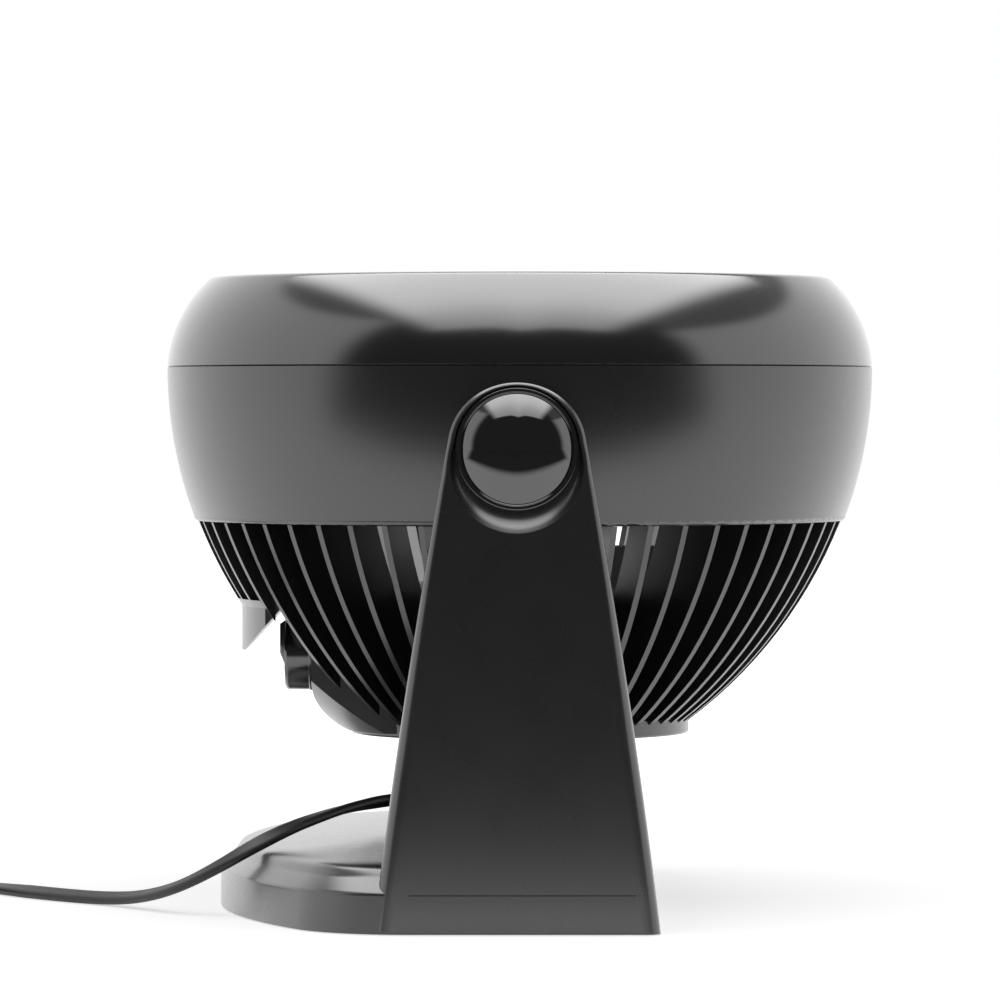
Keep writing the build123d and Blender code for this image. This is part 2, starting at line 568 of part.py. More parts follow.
def visor():
    """Ceiling over the knob with a wedge-shaped lip at its outer end."""
    ceiling_top = NOTCH_LEVEL + WALL
    tip_x = VISOR_TIP_WIDTH - cage_radius(NOTCH_LEVEL)
    foot_x = tip_x + (NOTCH_LEVEL - VISOR_TIP_LEVEL) / VISOR_SLOPE
    side = Polyline((SHELF_X + 2, ceiling_top), (-SEAM_RADIUS, ceiling_top), (-SEAM_RADIUS, VISOR_TIP_LEVEL),
                    (tip_x, VISOR_TIP_LEVEL), (foot_x, NOTCH_LEVEL), (SHELF_X + 2, NOTCH_LEVEL), close=True)
    wedge = extrude(Plane.XZ * make_face(side), NOTCH_HALF_WIDTH, both=True)
    face = turned(
        arc_through(cage_radius, NOTCH_LEVEL, ceiling_top),
        Line((cage_radius(ceiling_top), ceiling_top), (0, ceiling_top)),
        Line((0, ceiling_top), (0, VISOR_TIP_LEVEL - 1)),
        Line((0, VISOR_TIP_LEVEL - 1), (cage_radius(NOTCH_LEVEL), VISOR_TIP_LEVEL - 1)),
        Line((cage_radius(NOTCH_LEVEL), VISOR_TIP_LEVEL - 1), (cage_radius(NOTCH_LEVEL), NOTCH_LEVEL)),
    )
    return (Pos(0, 0, PIVOT_HEIGHT) * wedge) & face


def control_box(inset):
    """Bulge below the visor that holds the speed switch, or its hollow if inset is the wall."""
    top = NOTCH_LEVEL + WALL - inset
    shelf = SHELF_X + inset
    end = COVER_LEVEL + 1.4 + inset
    half = NOTCH_HALF_WIDTH - 1.5 - inset
    belly = (SHELF_X + BOX_BELLY_SETBACK + inset * 0.8, BOX_BELLY_LEVEL + inset * 0.6)
    end_x = BOX_END_SETBACK - HUB_RADIUS
    inner_x = -CUP_BORE * 0.62
    side = [
        Line((inner_x, top), (shelf, top)),
        Line((shelf, top), (shelf, BOX_KNEE_LEVEL)),
        ThreePointArc((shelf, BOX_KNEE_LEVEL), belly, (end_x, end)),
        Line((end_x, end), (inner_x, end)),
        Line((inner_x, end), (inner_x, top)),
    ]
    prism = Pos(0, 0, PIVOT_HEIGHT) * extrude(Plane.XZ * make_face(side), half, both=True)
    reach = BOX_REACH - inset
    skin = turned(
        arc_through(cage_radius, end - 1.5, top, -reach),
        Line((cage_radius(top, -reach), top), (0, top)),
        Line((0, top), (0, end - 1.5)),
        Line((0, end - 1.5), (cage_radius(end - 1.5, -reach), end - 1.5)),
    )
    return prism & skin


def cup():
    """Round cup that holds the motor: wall, front plate and the cover's screw bosses."""
    wall = turned_polygon((CUP_BORE, HUB_LEVEL), (HUB_RADIUS, HUB_LEVEL), (HUB_RADIUS, HUB_LEVEL + 2.0),
                          (CUP_RADIUS, HUB_LEVEL + 2.0), (CUP_RADIUS, CUP_PLATE_BACK), (HUB_RADIUS, CUP_PLATE_BACK),
                          (HUB_RADIUS, CUP_PLATE_LEVEL), (BEARING_RADIUS + 1.5, CUP_PLATE_LEVEL),
                          (BEARING_RADIUS + 1.5, CUP_PLATE_BACK), (CUP_BORE, CUP_PLATE_BACK))
    height = CUP_PLATE_BACK - HUB_LEVEL - COVER_SPIGOT_DEPTH
    level = HUB_LEVEL + COVER_SPIGOT_DEPTH + height / 2
    bosses = [about_axis(angle, COVER_SCREW_CIRCLE, level) * Cylinder(BOSS_RADIUS, height)
              for angle in cover_screw_angles()]
    return wall + bosses


def cup_room():
    """The space inside the cup, and below it the space of the rear cover."""
    return turned_polygon((0, CUP_PLATE_BACK), (CUP_BORE, CUP_PLATE_BACK), (CUP_BORE, HUB_LEVEL),
                          (HUB_RADIUS + SEAT_PLAY, HUB_LEVEL), (HUB_RADIUS + SEAT_PLAY, COVER_LEVEL - 2),
                          (0, COVER_LEVEL - 2))


def cover_screw_angles():
    """Angles of the rear cover's four screws."""
    return [COVER_SCREW_ANGLE + 90 * index for index in range(4)]


def rear_cage():
    """The cage as one moulding: top plate, vanes, cup, visor and control box."""
    plate_low = CAGE_PLATE_TOP - CAGE_PLATE_THICKNESS
    plate_outer = drum_radius(plate_low + 0.5, WALL) - 1.0
    plate = turned_polygon((DUCT_RADIUS, plate_low), (plate_outer, plate_low), (plate_outer, CAGE_PLATE_TOP),
                           (DUCT_RADIUS, CAGE_PLATE_TOP))
    blade, room = vane(), knob_room()
    pitch = 360 / VANE_COUNT
    vanes = []
    for index in range(VANE_COUNT):
        turned_vane = Rot(0, 0, index * pitch) * blade
        from_knob = abs(180 - index * pitch)
        vanes.append(turned_vane - room if from_knob < 55 else turned_vane)
    box = control_box(0.0) - cup_room()
    body = Part() + [plate, cup(), visor(), box, *vanes]
    spindle_hole = lengthwise(SHELF_X - 5, SHELF_X + 8, BUSHING_RADIUS + SEAT_PLAY)
    bites = [about_axis(angle, COVER_SCREW_CIRCLE, HUB_LEVEL) * Cylinder(SCREW_RADIUS + 0.02, 2 * SCREW_LENGTH + 4)
             for angle in cover_screw_angles()]
    motor = [place * Cylinder(MOTOR_SCREW_RADIUS + 0.1, 20) for place in motor_screw_places()]
    duct = [place * Cylinder(SCREW_RADIUS + 0.02, 14) for place in duct_screw_places()]
    return body - control_box(WALL) - spindle_hole - bites - motor - duct


def rear_cover():
    """Flat disc that closes the cup, with a spigot inside it, screw holes and the cord's hole."""
    spigot = CUP_BORE - SEAT_PLAY
    disc = turned_polygon((0, COVER_LEVEL), (HUB_RADIUS - 0.6, COVER_LEVEL), (HUB_RADIUS, COVER_LEVEL + 0.6),
                          (HUB_RADIUS, HUB_LEVEL), (spigot, HUB_LEVEL), (spigot, HUB_LEVEL + COVER_SPIGOT_DEPTH),
                          (spigot - 2.0, HUB_LEVEL + COVER_SPIGOT_DEPTH), (spigot - 2.0, HUB_LEVEL), (0, HUB_LEVEL))
    pillars = [about_axis(angle, COVER_SCREW_CIRCLE, HUB_LEVEL + COVER_SPIGOT_DEPTH / 2)
               * Cylinder(BOSS_RADIUS, COVER_SPIGOT_DEPTH) for angle in cover_screw_angles()]
    inside = turned_polygon((0, COVER_LEVEL), (spigot, COVER_LEVEL), (spigot, 0), (0, 0))
    holes = [about_axis(angle, COVER_SCREW_CIRCLE, HUB_LEVEL) * Cylinder(SCREW_RADIUS + 0.1, 40)
             for angle in cover_screw_angles()]
    seats = [about_axis(angle, COVER_SCREW_CIRCLE, COVER_LEVEL) * Cylinder(SCREW_HEAD_RADIUS + SEAT_PLAY,
                                                                          2 * SCREW_HEAD_HEIGHT + 0.6)
             for angle in cover_screw_angles()]
    exit_hole = Pos(CORD_EXIT_X, 0, PIVOT_HEIGHT + HUB_LEVEL) * Cylinder(RELIEF_NECK_RADIUS + SEAT_PLAY, 40)
    return disc + [pillar & inside for pillar in pillars] - holes - seats - exit_hole


def strain_relief():
    """Tapered rubber sleeve on the cord, with its flange inside the rear cover."""
    flange_top = HUB_LEVEL + RELIEF_FLANGE_THICKNESS
    tip = COVER_LEVEL - RELIEF_LENGTH
    section = Polyline((0, flange_top), (RELIEF_FLANGE_RADIUS, flange_top), (RELIEF_FLANGE_RADIUS, HUB_LEVEL),
                       (RELIEF_NECK_RADIUS, HUB_LEVEL), (RELIEF_NECK_RADIUS, COVER_LEVEL - 2),
                       (RELIEF_TIP_RADIUS, tip), (0, tip), close=True)
    sleeve = revolve(Plane.XZ * make_face(section), Axis.Z)
    return Pos(CORD_EXIT_X, 0, PIVOT_HEIGHT) * sleeve


def rear_cover_screws():
    """Four screws that hold the rear cover to the cup's bosses."""
    top = COVER_LEVEL + SCREW_HEAD_HEIGHT + 0.3
    return [about_axis(angle, COVER_SCREW_CIRCLE, top)
            * screw(SCREW_RADIUS, SCREW_HEAD_RADIUS, SCREW_HEAD_HEIGHT, SCREW_LENGTH)
            for angle in cover_screw_angles()]


def ring_screws():
    """Six long screws that pull the drum and the ring together."""
    one = screw(SCREW_RADIUS, SCREW_HEAD_RADIUS, SCREW_HEAD_HEIGHT, RING_SCREW_LENGTH)
    return [about_axis(angle, RING_BOSS_CIRCLE, SEAM_LEVEL - DRUM_POST_DEPTH) * one for angle in ring_screw_angles()]


def duct_screws():
    """Short screws that hold the duct's foot to the cage's plate."""
    one = screw(SCREW_RADIUS, SCREW_HEAD_RADIUS - 0.3, SCREW_HEAD_HEIGHT, DUCT_SCREW_LENGTH)
    return [place * Rot(180, 0, 0) * one for place in duct_screw_places()]


# ---------------------------------------------------------------- hinge pieces, which turn with the head


def trunnion(side):
    """Flanged stub that is fixed to the drum's pad and turns in the arm; its key shows above the arm."""
    flange = across(*sorted((side * PAD_Y_INNER, side * PAD_Y)), TRUNNION_FLANGE_RADIUS)
    lug = block((-TRUNNION_LUG_WIDTH / 2, TRUNNION_LUG_WIDTH / 2), sorted((side * PAD_Y_INNER, side * PAD_Y)),
                (PIVOT_HEIGHT, PIVOT_HEIGHT + TRUNNION_LUG_RISE))
    stub = across(*sorted((side * PAD_Y, side * (COVER_FACE_Y + FACE_PLAY))), TRUNNION_RADIUS)
    bore = across(*sorted((side * PAD_Y_INNER, side * STAND_HALF_WIDTH)), PIVOT_SCREW_RADIUS + 0.1)
    return flange + lug + stub - bore


def friction_washer(side):
    """Fibre washer that brakes the hinge, between the trunnion's flange and the arm."""
    span = sorted((side * PAD_Y, side * (PAD_Y + FRICTION_WASHER_THICKNESS)))
    return across(*span, FRICTION_WASHER_RADIUS) - across(*span, TRUNNION_RADIUS + 0.2)


def pivot_washer(side):
    """Steel washer that keeps the trunnion in the arm."""
    inner = COVER_FACE_Y + FACE_PLAY
    span = sorted((side * inner, side * (inner + PIVOT_WASHER_THICKNESS)))
    return across(*span, PIVOT_WASHER_RADIUS) - across(*span, PIVOT_SCREW_RADIUS + 0.1)


def pivot_screw(side):
    """Screw through washer and trunnion into the drum."""
    head_seat = COVER_FACE_Y + FACE_PLAY + PIVOT_WASHER_THICKNESS
    length = head_seat - PAD_Y_INNER + PIVOT_SCREW_BITE
    return (Pos(0, side * head_seat, PIVOT_HEIGHT) * Rot(90 * side, 0, 0)
            * screw(PIVOT_SCREW_RADIUS, PIVOT_SCREW_HEAD_RADIUS, PIVOT_SCREW_HEAD_HEIGHT, length))


# ---------------------------------------------------------------- impeller and motor


def blade_section(radius, chord, pitch):
    """Section of a blade at a radius: a curved strip of even thickness, pitched about the radius."""
    rise = BLADE_CAMBER * chord
    half, thick = chord / 2, BLADE_THICKNESS / 2
    upper = ThreePointArc((-half, thick * 0.4), (0, rise + thick), (half, thick * 0.4))
    lower = ThreePointArc((-half, -thick * 0.4), (0, rise - thick), (half, -thick * 0.4))
    face = make_face([upper, lower, Line(upper @ 0, lower @ 0), Line(upper @ 1, lower @ 1)])
    plane = Plane(origin=(radius, 0, 0), x_dir=(0, 1, 0), z_dir=(1, 0, 0))
    return plane * Rot(0, 0, pitch) * face


def impeller():
    """Spinner with three broad blades."""
    start, end = SPINNER_RADIUS - SPINNER_WALL * 0.7, BLADE_RADIUS + 6.0
    middle = (start + end) / 2
    mid_chord, mid_pitch = (BLADE_ROOT_CHORD + BLADE_TIP_CHORD) / 2 + 6, (BLADE_ROOT_PITCH + BLADE_TIP_PITCH) / 2 - 3
    sections = [blade_section(start, BLADE_ROOT_CHORD, BLADE_ROOT_PITCH), blade_section(middle, mid_chord, mid_pitch),
                blade_section(end, BLADE_TIP_CHORD, BLADE_TIP_PITCH)]
    height = 2 * BLADE_TIP_CHORD
    sweep_room = Cylinder(BLADE_RADIUS, height) - Cylinder(SPINNER_RADIUS - SPINNER_WALL / 2, height)
    blade = loft(sections) & sweep_room
    blades = [about_axis(360 * index / BLADE_COUNT, 0, BLADE_LEVEL) * blade for index in range(BLADE_COUNT)]
    outer = SPINNER_RADIUS
    inner = outer - SPINNER_WALL
    roof = SPINNER_TOP_LEVEL - SPINNER_WALL
    spinner = turned(
        Line((outer, SPINNER_BOTTOM_LEVEL), (outer, SPINNER_TOP_LEVEL - 9)),
        ThreePointArc((outer, SPINNER_TOP_LEVEL - 9), (outer * 0.8, SPINNER_TOP_LEVEL - 2.4),
                      (outer * 0.42, SPINNER_TOP_LEVEL)),
        Line((outer * 0.42, SPINNER_TOP_LEVEL), (0, SPINNER_TOP_LEVEL)),
        Line((0, SPINNER_TOP_LEVEL), (0, roof)),
        Line((0, roof), (inner * 0.7, roof)),
        Line((inner * 0.7, roof), (inner, roof - 8)),
        Line((inner, roof - 8), (inner, SPINNER_BOTTOM_LEVEL)),
        Line((inner, SPINNER_BOTTOM_LEVEL), (outer, SPINNER_BOTTOM_LEVEL)),
    )
    sleeve_low = SPINNER_BOTTOM_LEVEL + 6
    sleeve = turned_polygon((SHAFT_RADIUS + SHAFT_PLAY, sleeve_low), (SHAFT_RADIUS + 3.5, sleeve_low),
                            (SHAFT_RADIUS + 3.5, roof + 0.5), (SHAFT_RADIUS + SHAFT_PLAY, roof + 0.5))
    web = turned_polygon((SHAFT_RADIUS + 2, BLADE_LEVEL - 1.2), (outer - 1, BLADE_LEVEL - 1.2),
                         (outer - 1, BLADE_LEVEL + 1.2), (SHAFT_RADIUS + 2, BLADE_LEVEL + 1.2))
    return spinner + [sleeve, web, *blades]


def motor_shaft():
    """Steel shaft from the rear bearing to the impeller, with a groove ring near its top."""
    length = SHAFT_TOP_LEVEL - SHAFT_END_LEVEL
    return about_axis(0, 0, (SHAFT_TOP_LEVEL + SHAFT_END_LEVEL) / 2) * chamfer(
        Cylinder(SHAFT_RADIUS, length).edges(), 0.5)


def rotor():
    """Laminated rotor on the shaft with cast end rings."""
    low, high = STATOR_BOTTOM_LEVEL, STATOR_TOP_LEVEL
    bore = SHAFT_RADIUS + SHAFT_PLAY / 4
    return turned_polygon((bore, low - 1), (ROTOR_RADIUS - 8, low - 1), (ROTOR_RADIUS - 8, low - 2.5),
                          (ROTOR_RADIUS - 2, low - 2.5), (ROTOR_RADIUS - 2, low), (ROTOR_RADIUS, low),
                          (ROTOR_RADIUS, high), (ROTOR_RADIUS - 2, high), (ROTOR_RADIUS - 2, high + 1.5),
                          (ROTOR_RADIUS - 8, high + 1.5), (ROTOR_RADIUS - 8, high), (bore, high))


def pole_angles():
    """Angles of the stator's poles."""
    return [360 * index / POLE_COUNT for index in range(POLE_COUNT)]


def motor_stator():
    """Ring of laminations with inward poles, and holes for the long motor screws."""
    inner = STATOR_RADIUS - STATOR_YOKE
    bore = ROTOR_RADIUS + AIR_GAP
    level = (STATOR_TOP_LEVEL + STATOR_BOTTOM_LEVEL) / 2
    yoke = about_axis(0, 0, level) * (Cylinder(STATOR_RADIUS, STATOR_HEIGHT) - Cylinder(inner, STATOR_HEIGHT))
    room = about_axis(0, 0, level) * Cylinder(bore, STATOR_HEIGHT * 2)
    poles = [about_axis(angle, (bore + inner) / 2, level) * Box(inner - bore + 3, POLE_WIDTH, STATOR_HEIGHT)
             for angle in pole_angles()]
    holes = [place * Cylinder(MOTOR_SCREW_RADIUS + 0.1, 200) for place in motor_screw_places()]
    return yoke + poles - room - holes


def motor_windings():
    """One coil of wire round each pole."""
    half_width = POLE_WIDTH / 2 + WINDING_THICKNESS
    inner = ROTOR_RADIUS + AIR_GAP + 1.0
    outer = sqrt((STATOR_RADIUS - STATOR_YOKE) ** 2 - half_width ** 2) - WINDING_GAP
    level = (STATOR_TOP_LEVEL + STATOR_BOTTOM_LEVEL) / 2
    depth = outer - inner
    hole = Box(depth + 2, POLE_WIDTH + 2 * WINDING_GAP, STATOR_HEIGHT + 2 * WINDING_GAP)
    body = Box(depth, POLE_WIDTH + 2 * WINDING_THICKNESS, STATOR_HEIGHT + 2 * WINDING_THICKNESS)
    body = fillet(body.edges().filter_by(Axis.X), WINDING_THICKNESS * 0.7)
    return [about_axis(angle, (inner + outer) / 2, level) * (body - hole) for angle in pole_angles()]


def motor_screw_places():
    """Where the long motor screws pass the cup's front plate."""
    return [about_axis(45 + 90 * index, MOTOR_SCREW_CIRCLE, CUP_PLATE_LEVEL) for index in range(4)]


def motor_bracket(face, yoke_end, outward):
    """Die-cast end bracket: a plate at level face and a rim down to the stator's yoke."""
    inner_face = face - outward * BRACKET_THICKNESS
    rim_inner = STATOR_RADIUS - STATOR_YOKE * 0.8
    bearing_end = face - outward * BEARING_HEIGHT
    bore = BEARING_RADIUS + 0.02
    shape = turned_polygon((bore, face), (STATOR_RADIUS, face), (STATOR_RADIUS, yoke_end), (rim_inner, yoke_end),
                           (rim_inner, inner_face), (bore + 2, inner_face), (bore + 2, bearing_end),
                           (bore, bearing_end))
    holes = [place * Cylinder(MOTOR_SCREW_RADIUS + 0.1, 200) for place in motor_screw_places()]
    windows = [about_axis(angle, (bore + 3 + rim_inner) / 2, face) * Cylinder(4.0, BRACKET_THICKNESS * 3)
               for angle in (0, 90, 180, 270)]
    return shape - holes - windows


def motor_front_bracket():
    """End bracket against the cup's front plate."""
    return motor_bracket(CUP_PLATE_BACK, STATOR_TOP_LEVEL, 1)


def rear_bracket_level():
    """Rear face of the motor's rear bracket."""
    return STATOR_BOTTOM_LEVEL - (CUP_PLATE_BACK - STATOR_TOP_LEVEL)


def motor_rear_bracket():
    """End bracket towards the rear cover."""
    return motor_bracket(rear_bracket_level(), STATOR_BOTTOM_LEVEL, -1)


def motor_bearings():
    """Two sleeve bearings that the shaft turns in."""
    bore = SHAFT_RADIUS + SHAFT_PLAY
    ends = (CUP_PLATE_BACK, rear_bracket_level() + BEARING_HEIGHT)
    return [turned_polygon((bore, top - BEARING_HEIGHT), (BEARING_RADIUS, top - BEARING_HEIGHT),
                           (BEARING_RADIUS, top), (bore, top)) for top in ends]


def motor_screws():
    """Four long screws through the cup's plate, brackets and stator, with nuts at the rear."""
    length = CUP_PLATE_LEVEL - rear_bracket_level() + MOTOR_SCREW_HEAD_HEIGHT + 1.0
    nut_level = CUP_PLATE_LEVEL - rear_bracket_level() + MOTOR_SCREW_HEAD_HEIGHT / 2
    nut = Pos(0, 0, nut_level) * extrude(RegularPolygon(MOTOR_SCREW_HEAD_RADIUS, 6), MOTOR_SCREW_HEAD_HEIGHT / 2,
                                         both=True)
    one = screw(MOTOR_SCREW_RADIUS, MOTOR_SCREW_HEAD_RADIUS, MOTOR_SCREW_HEAD_HEIGHT, length) + nut
    return [place * Rot(180, 0, 0) * one for place in motor_screw_places()]


def capacitor():
    """Run capacitor in its moulded case, standing on the cup's plate."""
    level = CUP_PLATE_LEVEL + CAPACITOR_HEIGHT / 2
    case = Box(CAPACITOR_WIDTH, CAPACITOR_LENGTH, CAPACITOR_HEIGHT)
    case = fillet(case.edges().filter_by(Axis.Y).group_by(Axis.Z)[-1], 3.0)
    return about_axis(0, CAPACITOR_X, level) * case


# ---------------------------------------------------------------- speed switch and knob


def rotary_switch():
    """Switch body behind the wall, with its bushing through it."""
    face = SHELF_X + WALL
    body = block((face, face + SWITCH_DEPTH), (-SWITCH_WIDTH / 2, SWITCH_WIDTH / 2),
                 (KNOB_HEIGHT_ABOVE_TABLE - SWITCH_HEIGHT / 2, KNOB_HEIGHT_ABOVE_TABLE + SWITCH_HEIGHT / 2))
    body = chamfer(body.edges().filter_by(Axis.X), 2.0)
    tabs = [block((face + SWITCH_DEPTH, face + SWITCH_DEPTH + 5), (y - 2.4, y + 2.4),
                  (KNOB_HEIGHT_ABOVE_TABLE - 0.4, KNOB_HEIGHT_ABOVE_TABLE + 0.4)) for y in (-8, 0, 8)]
    bushing = lengthwise(SHELF_X - BUSHING_LENGTH, face + 1, BUSHING_RADIUS)
    bore = lengthwise(SHELF_X - BUSHING_LENGTH, face + SWITCH_DEPTH - 2.5, SPINDLE_RADIUS + SPINDLE_PLAY)
    return body + [bushing, *tabs] - bore


def switch_nut():
    """Hexagon nut that clamps the switch to the wall."""
    hexagon = Plane.YZ * (RegularPolygon(SWITCH_NUT_RADIUS, 6) - Circle(BUSHING_RADIUS + 0.02))
    return Pos(SHELF_X - SWITCH_NUT_THICKNESS, 0, KNOB_HEIGHT_ABOVE_TABLE) * extrude(hexagon, SWITCH_NUT_THICKNESS)


def switch_spindle():
    """Spindle that the knob turns, with the flat that keys it."""
    inner = SHELF_X + WALL + SWITCH_DEPTH - 3.0
    outer = SHELF_X - KNOB_GAP - KNOB_HEIGHT + 2.4
    rod = lengthwise(outer, inner, SPINDLE_RADIUS)
    flat_low = KNOB_HEIGHT_ABOVE_TABLE + SPINDLE_RADIUS * 0.6
    return rod - block((outer - 1, SHELF_X - BUSHING_LENGTH - 0.6), (-9, 9), (flat_low, flat_low + 9))


def speed_knob():
    """Round knob: lip at the wall, scalloped grip, domed front with a raised pointer."""
    grip = KNOB_RADIUS - 0.5
    peak = KNOB_HEIGHT + KNOB_DOME
    body = revolve(Plane.XZ * make_face([
        Line((0, 0), (KNOB_RADIUS, 0)), Line((KNOB_RADIUS, 0), (KNOB_RADIUS, KNOB_LIP_HEIGHT)),
        Line((KNOB_RADIUS, KNOB_LIP_HEIGHT), (grip, KNOB_LIP_HEIGHT)), Line((grip, KNOB_LIP_HEIGHT), (grip, KNOB_HEIGHT)),
        dome_arc(grip, KNOB_HEIGHT, KNOB_DOME), Line((0, peak), (0, 0))]), Axis.Z)
    pitch = 360 / KNOB_GRIP_COUNT
    scallops = [Rot(0, 0, pitch * (index + 0.5)) * Pos(KNOB_RADIUS + 1.6 - KNOB_GRIP_DEPTH, 0, KNOB_LIP_HEIGHT + peak / 2)
                * Cylinder(1.6, peak) for index in range(KNOB_GRIP_COUNT)]
    pointer = block((2.0, KNOB_RADIUS - 3.4), (-KNOB_POINTER_WIDTH / 2, KNOB_POINTER_WIDTH / 2),
                    (KNOB_HEIGHT - 1.0, peak + 0.3))
    hollow_depth = BUSHING_LENGTH - KNOB_GAP + 0.6
    hollow = Pos(0, 0, hollow_depth / 2) * Cylinder(SWITCH_NUT_RADIUS + 1.0, hollow_depth)
    depth = KNOB_HEIGHT - 2.4
    flat = SPINDLE_RADIUS * 0.6 + 0.02
    bore = Pos(0, 0, depth / 2) * Cylinder(SPINDLE_RADIUS + 0.02, depth) - block((flat, 9), (-9, 9), (0, depth))
    knob = body + pointer - scallops - hollow - bore
    return Pos(SHELF_X - KNOB_GAP, 0, KNOB_HEIGHT_ABOVE_TABLE) * Rot(0, -90, 0) * knob


# ---------------------------------------------------------------- stand


def base_outline(inset, height=BASE_WALL_HEIGHT):
    """Plan of the base at a height: wide toe arc, round toe corners, straight sides and front. The front
    follows the arms' slanted edges up to the top of the wall; the edges come in one order."""
    half = STAND_HALF_WIDTH - inset
    toe_radius = TOE_ARC_RADIUS - inset
    toe_centre = TOE_X + TOE_ARC_RADIUS
    corner = max(TOE_CORNER_RADIUS - 0.62 * inset, 6.0)
    corner_y = half - corner
    corner_x = toe_centre - sqrt((toe_radius - corner) ** 2 - corner_y ** 2)
    lead = atan2(corner_y, toe_centre - corner_x)
    toe_end = (toe_centre - toe_radius * cos(lead), toe_radius * sin(lead))
    corner_mid_angle = (pi / 2 + pi - lead) / 2
    corner_mid = (corner_x + corner * cos(corner_mid_angle), corner_y + corner * sin(corner_mid_angle))
    front, soft = arm_half_width(height) - inset, ARM_EDGE_ROUND
    front_mid = (front - soft * 0.293, half - soft * 0.293)

    def mirrored(point):
        return (point[0], -point[1])

    edges = [
        ThreePointArc(mirrored(toe_end), (TOE_X + inset, 0), toe_end),
        ThreePointArc(toe_end, corner_mid, (corner_x, half)),
        Line((corner_x, half), (front - soft, half)),
        ThreePointArc((front - soft, half), front_mid, (front, half - soft)),
        Line((front, half - soft), (front, -half + soft)),
        ThreePointArc((front, -half + soft), mirrored(front_mid), (front - soft, -half)),
        Line((front - soft, -half), (corner_x, -half)),
        ThreePointArc((corner_x, -half), mirrored(corner_mid), mirrored(toe_end)),
    ]
    return make_face(edges)


def base_body(inset, floor, drop):
    """The base as a solid, or what is inside it: upright edge, bevel, then a crown that flattens out."""
    wall_top = BASE_WALL_HEIGHT - drop
    edge_top = BASE_WALL_HEIGHT + BASE_BEVEL_HEIGHT - drop
    wall = loft([Pos(0, 0, floor) * base_outline(inset, floor), Pos(0, 0, wall_top) * base_outline(inset)],
                ruled=True)
    bevel = loft([Pos(0, 0, wall_top) * base_outline(inset),
                  Pos(0, 0, edge_top) * base_outline(BASE_BEVEL_INSET + inset)], ruled=True)
    steps = ((BASE_BEVEL_INSET, edge_top), (BASE_SHOULDER_INSET, BASE_SHOULDER_HEIGHT - drop),
             (BASE_BROW_INSET, BASE_BROW_HEIGHT - drop), (BASE_CROWN_INSET, BASE_CROWN_HEIGHT - drop))
    crown = loft([Pos(0, 0, height) * base_outline(step + inset) for step, height in steps])
    return wall + [bevel, crown]


def arm_edge(inset):
    """Three places on an arm's side, as X and height: at the table, at the waist and below the round top."""
    lean = radians(ARM_TOP_TANGENT)
    radius = ARM_TOP_RADIUS - inset
    return ((ARM_HALF_FOOT - inset, 0.0), (ARM_HALF_WAIST - inset, WAIST_HEIGHT),
            (radius * cos(lean), PIVOT_HEIGHT + radius * sin(lean)))


def arm_half_width(height):
    """Half the width of an arm at a height below its round top."""
    side = ThreePointArc(*arm_edge(0.0))
    return side.arc_center.X + sqrt(side.radius ** 2 - (height - side.arc_center.Y) ** 2)


def arm_outline(inset, foot):
    """Front view of an arm as a face in X and Z: round top, slightly bulged sides down to height foot."""
    sole, waist, shoulder = arm_edge(inset)
    radius = ARM_TOP_RADIUS - inset

    def mirrored(point):
        return (-point[0], point[1])

    edges = [
        ThreePointArc(shoulder, (0, PIVOT_HEIGHT + radius), mirrored(shoulder)),
        ThreePointArc(mirrored(shoulder), mirrored(waist), mirrored(sole)),
        Line(mirrored(sole), sole),
        ThreePointArc(sole, waist, shoulder),
    ]
    above = Pos(0, foot + 200) * Rectangle(400, 400)
    return Plane.XZ * (make_face(edges) & above)


def arm_slab(side, inset, foot, inner, outer_inset):
    """An arm's silhouette between the plane at inner and the leaning outer face, or a face inside it."""
    outer = STAND_HALF_WIDTH + 1 - inner
    slab = Pos(0, side * inner, 0) * extrude(arm_outline(inset, foot), -side * outer)
    low, top = ARM_LEAN_START, PIVOT_HEIGHT + 2 * ARM_TOP_RADIUS
    face_low = STAND_HALF_WIDTH - outer_inset
    face_top = face_low - ARM_LEAN * (top - low) / (PIVOT_HEIGHT - low)
    beyond = Polyline((side * face_low, -1), (side * face_low, low), (side * face_top, top),
                      (side * (STAND_HALF_WIDTH + 9), top), (side * (STAND_HALF_WIDTH + 9), -1), close=True)
    return slab - extrude(Plane.YZ * make_face(beyond), 200, both=True)


def arm_face_y(height, inset=0.0):
    """Distance of an arm's outer face from the middle plane at a height."""
    return STAND_HALF_WIDTH - inset - ARM_LEAN * (height - ARM_LEAN_START) / (PIVOT_HEIGHT - ARM_LEAN_START)


def arm(side):
    """One hollow arm, open on its inner side, with a dished socket for the cap."""
    body = arm_slab(side, 0.0, BASE_WALL_HEIGHT, ARM_INNER_Y, 0.0)
    body = fillet(arm_rim(body, side), ARM_EDGE_ROUND)
    hollow = arm_slab(side, ARM_WALL, ARM_HOLLOW_FOOT, ARM_INNER_Y - 1, ARM_WALL)
    backing = across(*sorted((side * SOCKET_BACK_Y, side * (SOCKET_FLOOR_Y + 1.2))), ARM_TOP_RADIUS - 1.2)
    bosses = [across(*sorted((side * COVER_FACE_Y, side * (arm_face_y(z) - ARM_WALL / 2))), BOSS_RADIUS, x, z)
              for x, z in arm_screw_spots()]
    bites = [across(*sorted((side * COVER_FACE_Y, side * (COVER_FACE_Y + SCREW_LENGTH - 3))), SCREW_RADIUS + 0.02, x, z)
             for x, z in arm_screw_spots()]
    return (body - hollow) + [backing, *bosses] - bites - socket(side)


